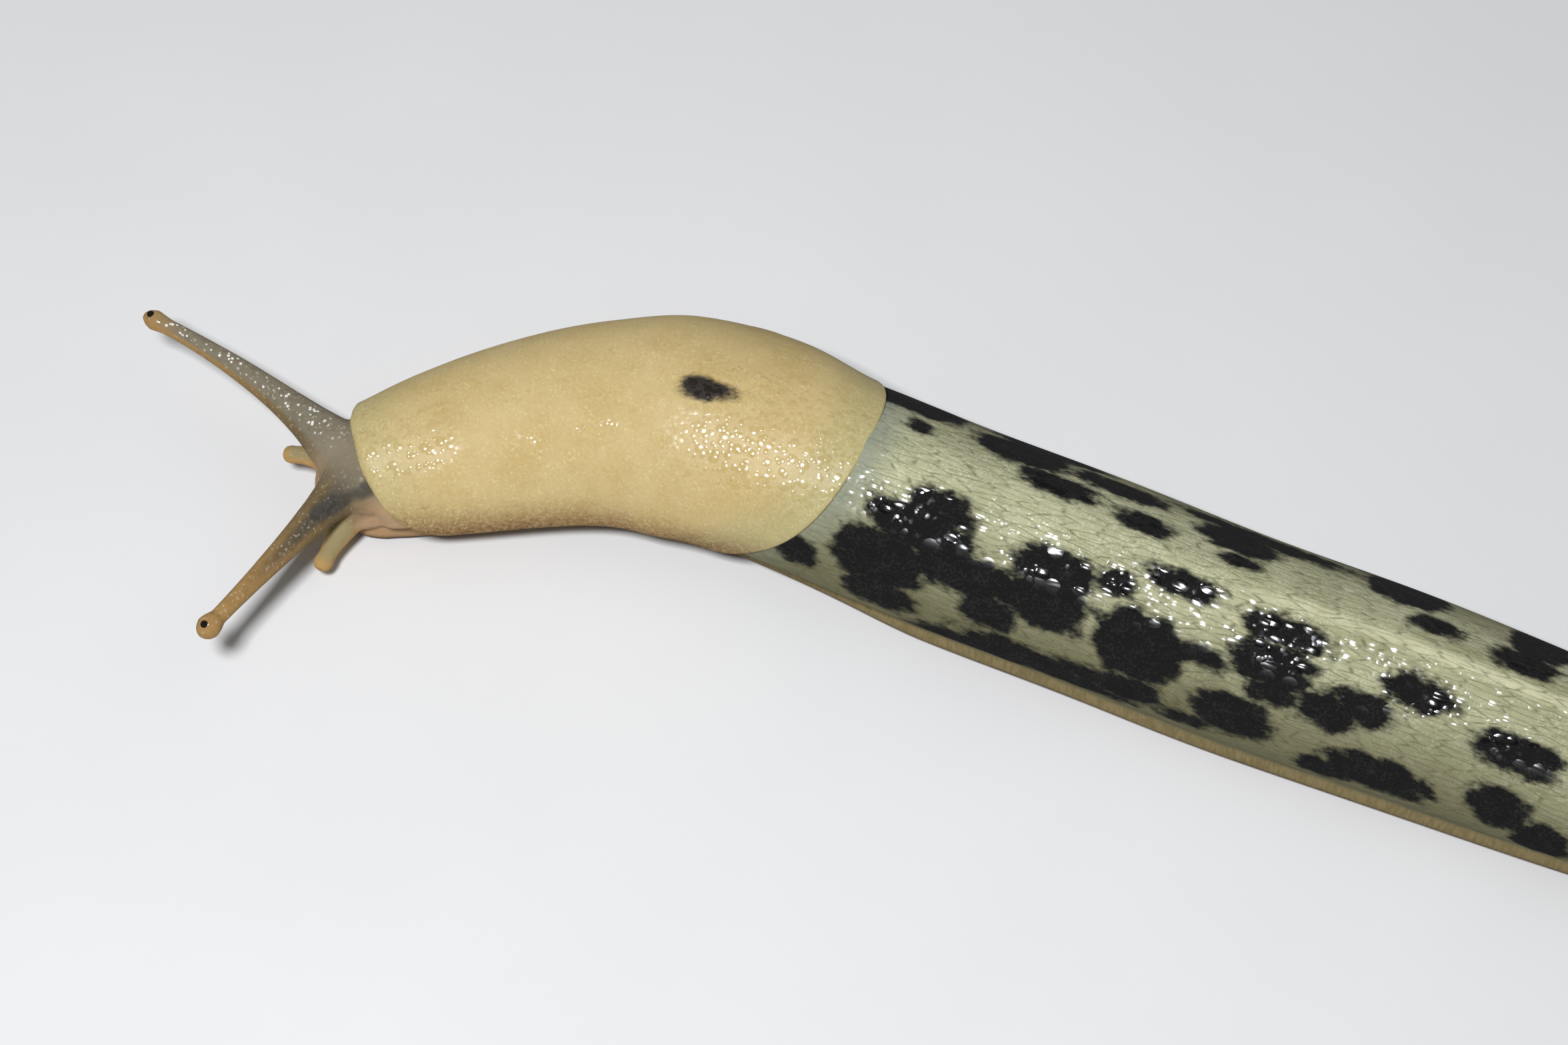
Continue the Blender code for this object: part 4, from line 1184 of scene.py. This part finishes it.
# %% Relief of the shield
GRAIN_HEIGHT = 0.008
front = times(rise(along, 12, 9.5), rise(around, -4.6, -3.6), rise(around, 1.2, 0.2))
ends = largest(rise(along, 24, 33), front)
patches = largest(rise(noise(in_mm, 0.5), 0.56, 0.66), ends)
patches = times(patches, rise(around, -9, -7), rise(around, 4, 1))
slope = times(rise(along, 12, 7, 0.26, 0.3), rise(patches, 0.0, 1.0, 0.1, 1.0))
large = use_group(domes, Vector=in_mm, Size=0.9, Slope=slope)
small = use_group(domes, Vector=in_mm, Size=0.5, Slope=slope)
relief = plus(largest(large["Height"], small["Height"]), times(grain, GRAIN_HEIGHT))
wet = times(largest(large["Mask"], small["Mask"]), patches)
relieve(relief, wet, rise(ends, 0, 1, 0.85, 0.52))
print("shield", len(tree.nodes), "nodes")

# %% [markdown]
# ## The eyes
# Each eye is a tiny black ball near the end of its tentacle, and the solids already have it. It only
# needs the deep, clear gloss of an eye, with a trace of brown so that it isn't a hole in the picture.

# %% Eyes
eye_black = bpy.data.materials.new("eye_black")
tree, surface = start_material(eye_black, {"Roughness": 0.06})
feed(mix(noise(room_in_mm(), 6.0), (10, 9, 9), (34, 26, 20)), surface.inputs["Base Color"])
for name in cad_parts:
    if name.startswith("eye"):
        materials = bpy.data.objects[name].data.materials
        materials.clear()
        materials.append(eye_black)
        print("glossy black for", name)

# %% [markdown]
# ## Floor and light
# The photo was taken with a flash just above the lens, and its mirror images are the bright points on
# the wet skin. A small lamp stands in that place. A large lamp overhead and a pale sky keep the shadows
# soft, and a plain pale floor takes the place of the forest litter. The floor and the large lamp are
# left out of reflections, so that they don't turn the black blotches grey.

# %% Floor
clear_selection()
bpy.ops.mesh.primitive_plane_add(size=3)
floor = bpy.context.object
floor.name = "floor"
floor.visible_glossy = False
floor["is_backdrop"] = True
floor_paint = bpy.data.materials.new("floor_paint")
tree, surface = start_material(floor_paint, {"Roughness": 0.85})
speckle = noise(add_node("TexCoord", {}, tree).outputs["Object"], 60, 3)
greys = {6: (0.74, 0.74, 0.72, 1), 7: (0.78, 0.78, 0.76, 1)}
paint = add_node("Mix", {0: speckle, **greys}, data_type="RGBA")
feed(paint.outputs[2], surface.inputs["Base Color"])
floor.data.materials.append(floor_paint)

# %% Lamps
FLASH_OFFSET = Vector((-62, 42, 0)) * MM
SOFT_BOX_OFFSET = Vector((0.4, 0.3, 0.65))


def lamp(name, location, size, power):
    """A square lamp that faces the slug."""
    bpy.ops.object.light_add(type="AREA", location=location)
    light = bpy.context.object
    light.name = name
    light.rotation_euler = (LOOKED_AT - light.location).to_track_quat("-Z", "Y").to_euler()
    light.data.size = size
    light.data.energy = power
    return light


flash = lamp("flash", camera.location + turn.to_matrix() @ FLASH_OFFSET, 50 * MM, 1.07)
flash.data.color = (0.94, 0.95, 1.0)
soft_box = lamp("soft_box", LOOKED_AT + SOFT_BOX_OFFSET, 0.7, 0.8)
soft_box.visible_glossy = False
world = bpy.data.worlds.new("studio")
bpy.context.scene.world = world
world.use_nodes = True
background = world.node_tree.nodes["Background"].inputs
background["Color"].default_value = (0.95, 0.97, 1, 1)
background["Strength"].default_value = 0.13
bpy.context.scene.view_settings.view_transform = "Standard"
print("flash at mm", [round(v / MM) for v in flash.location])

# %% [markdown]
# ## Finish
# The two boxes are kept side by side and printed.

# %% Finish
boxes = {"cad": cad_box, "visual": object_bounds()}
boxes = {name: [[float(v) for v in corner] for corner in box] for name, box in boxes.items()}
print("boxes", boxes)
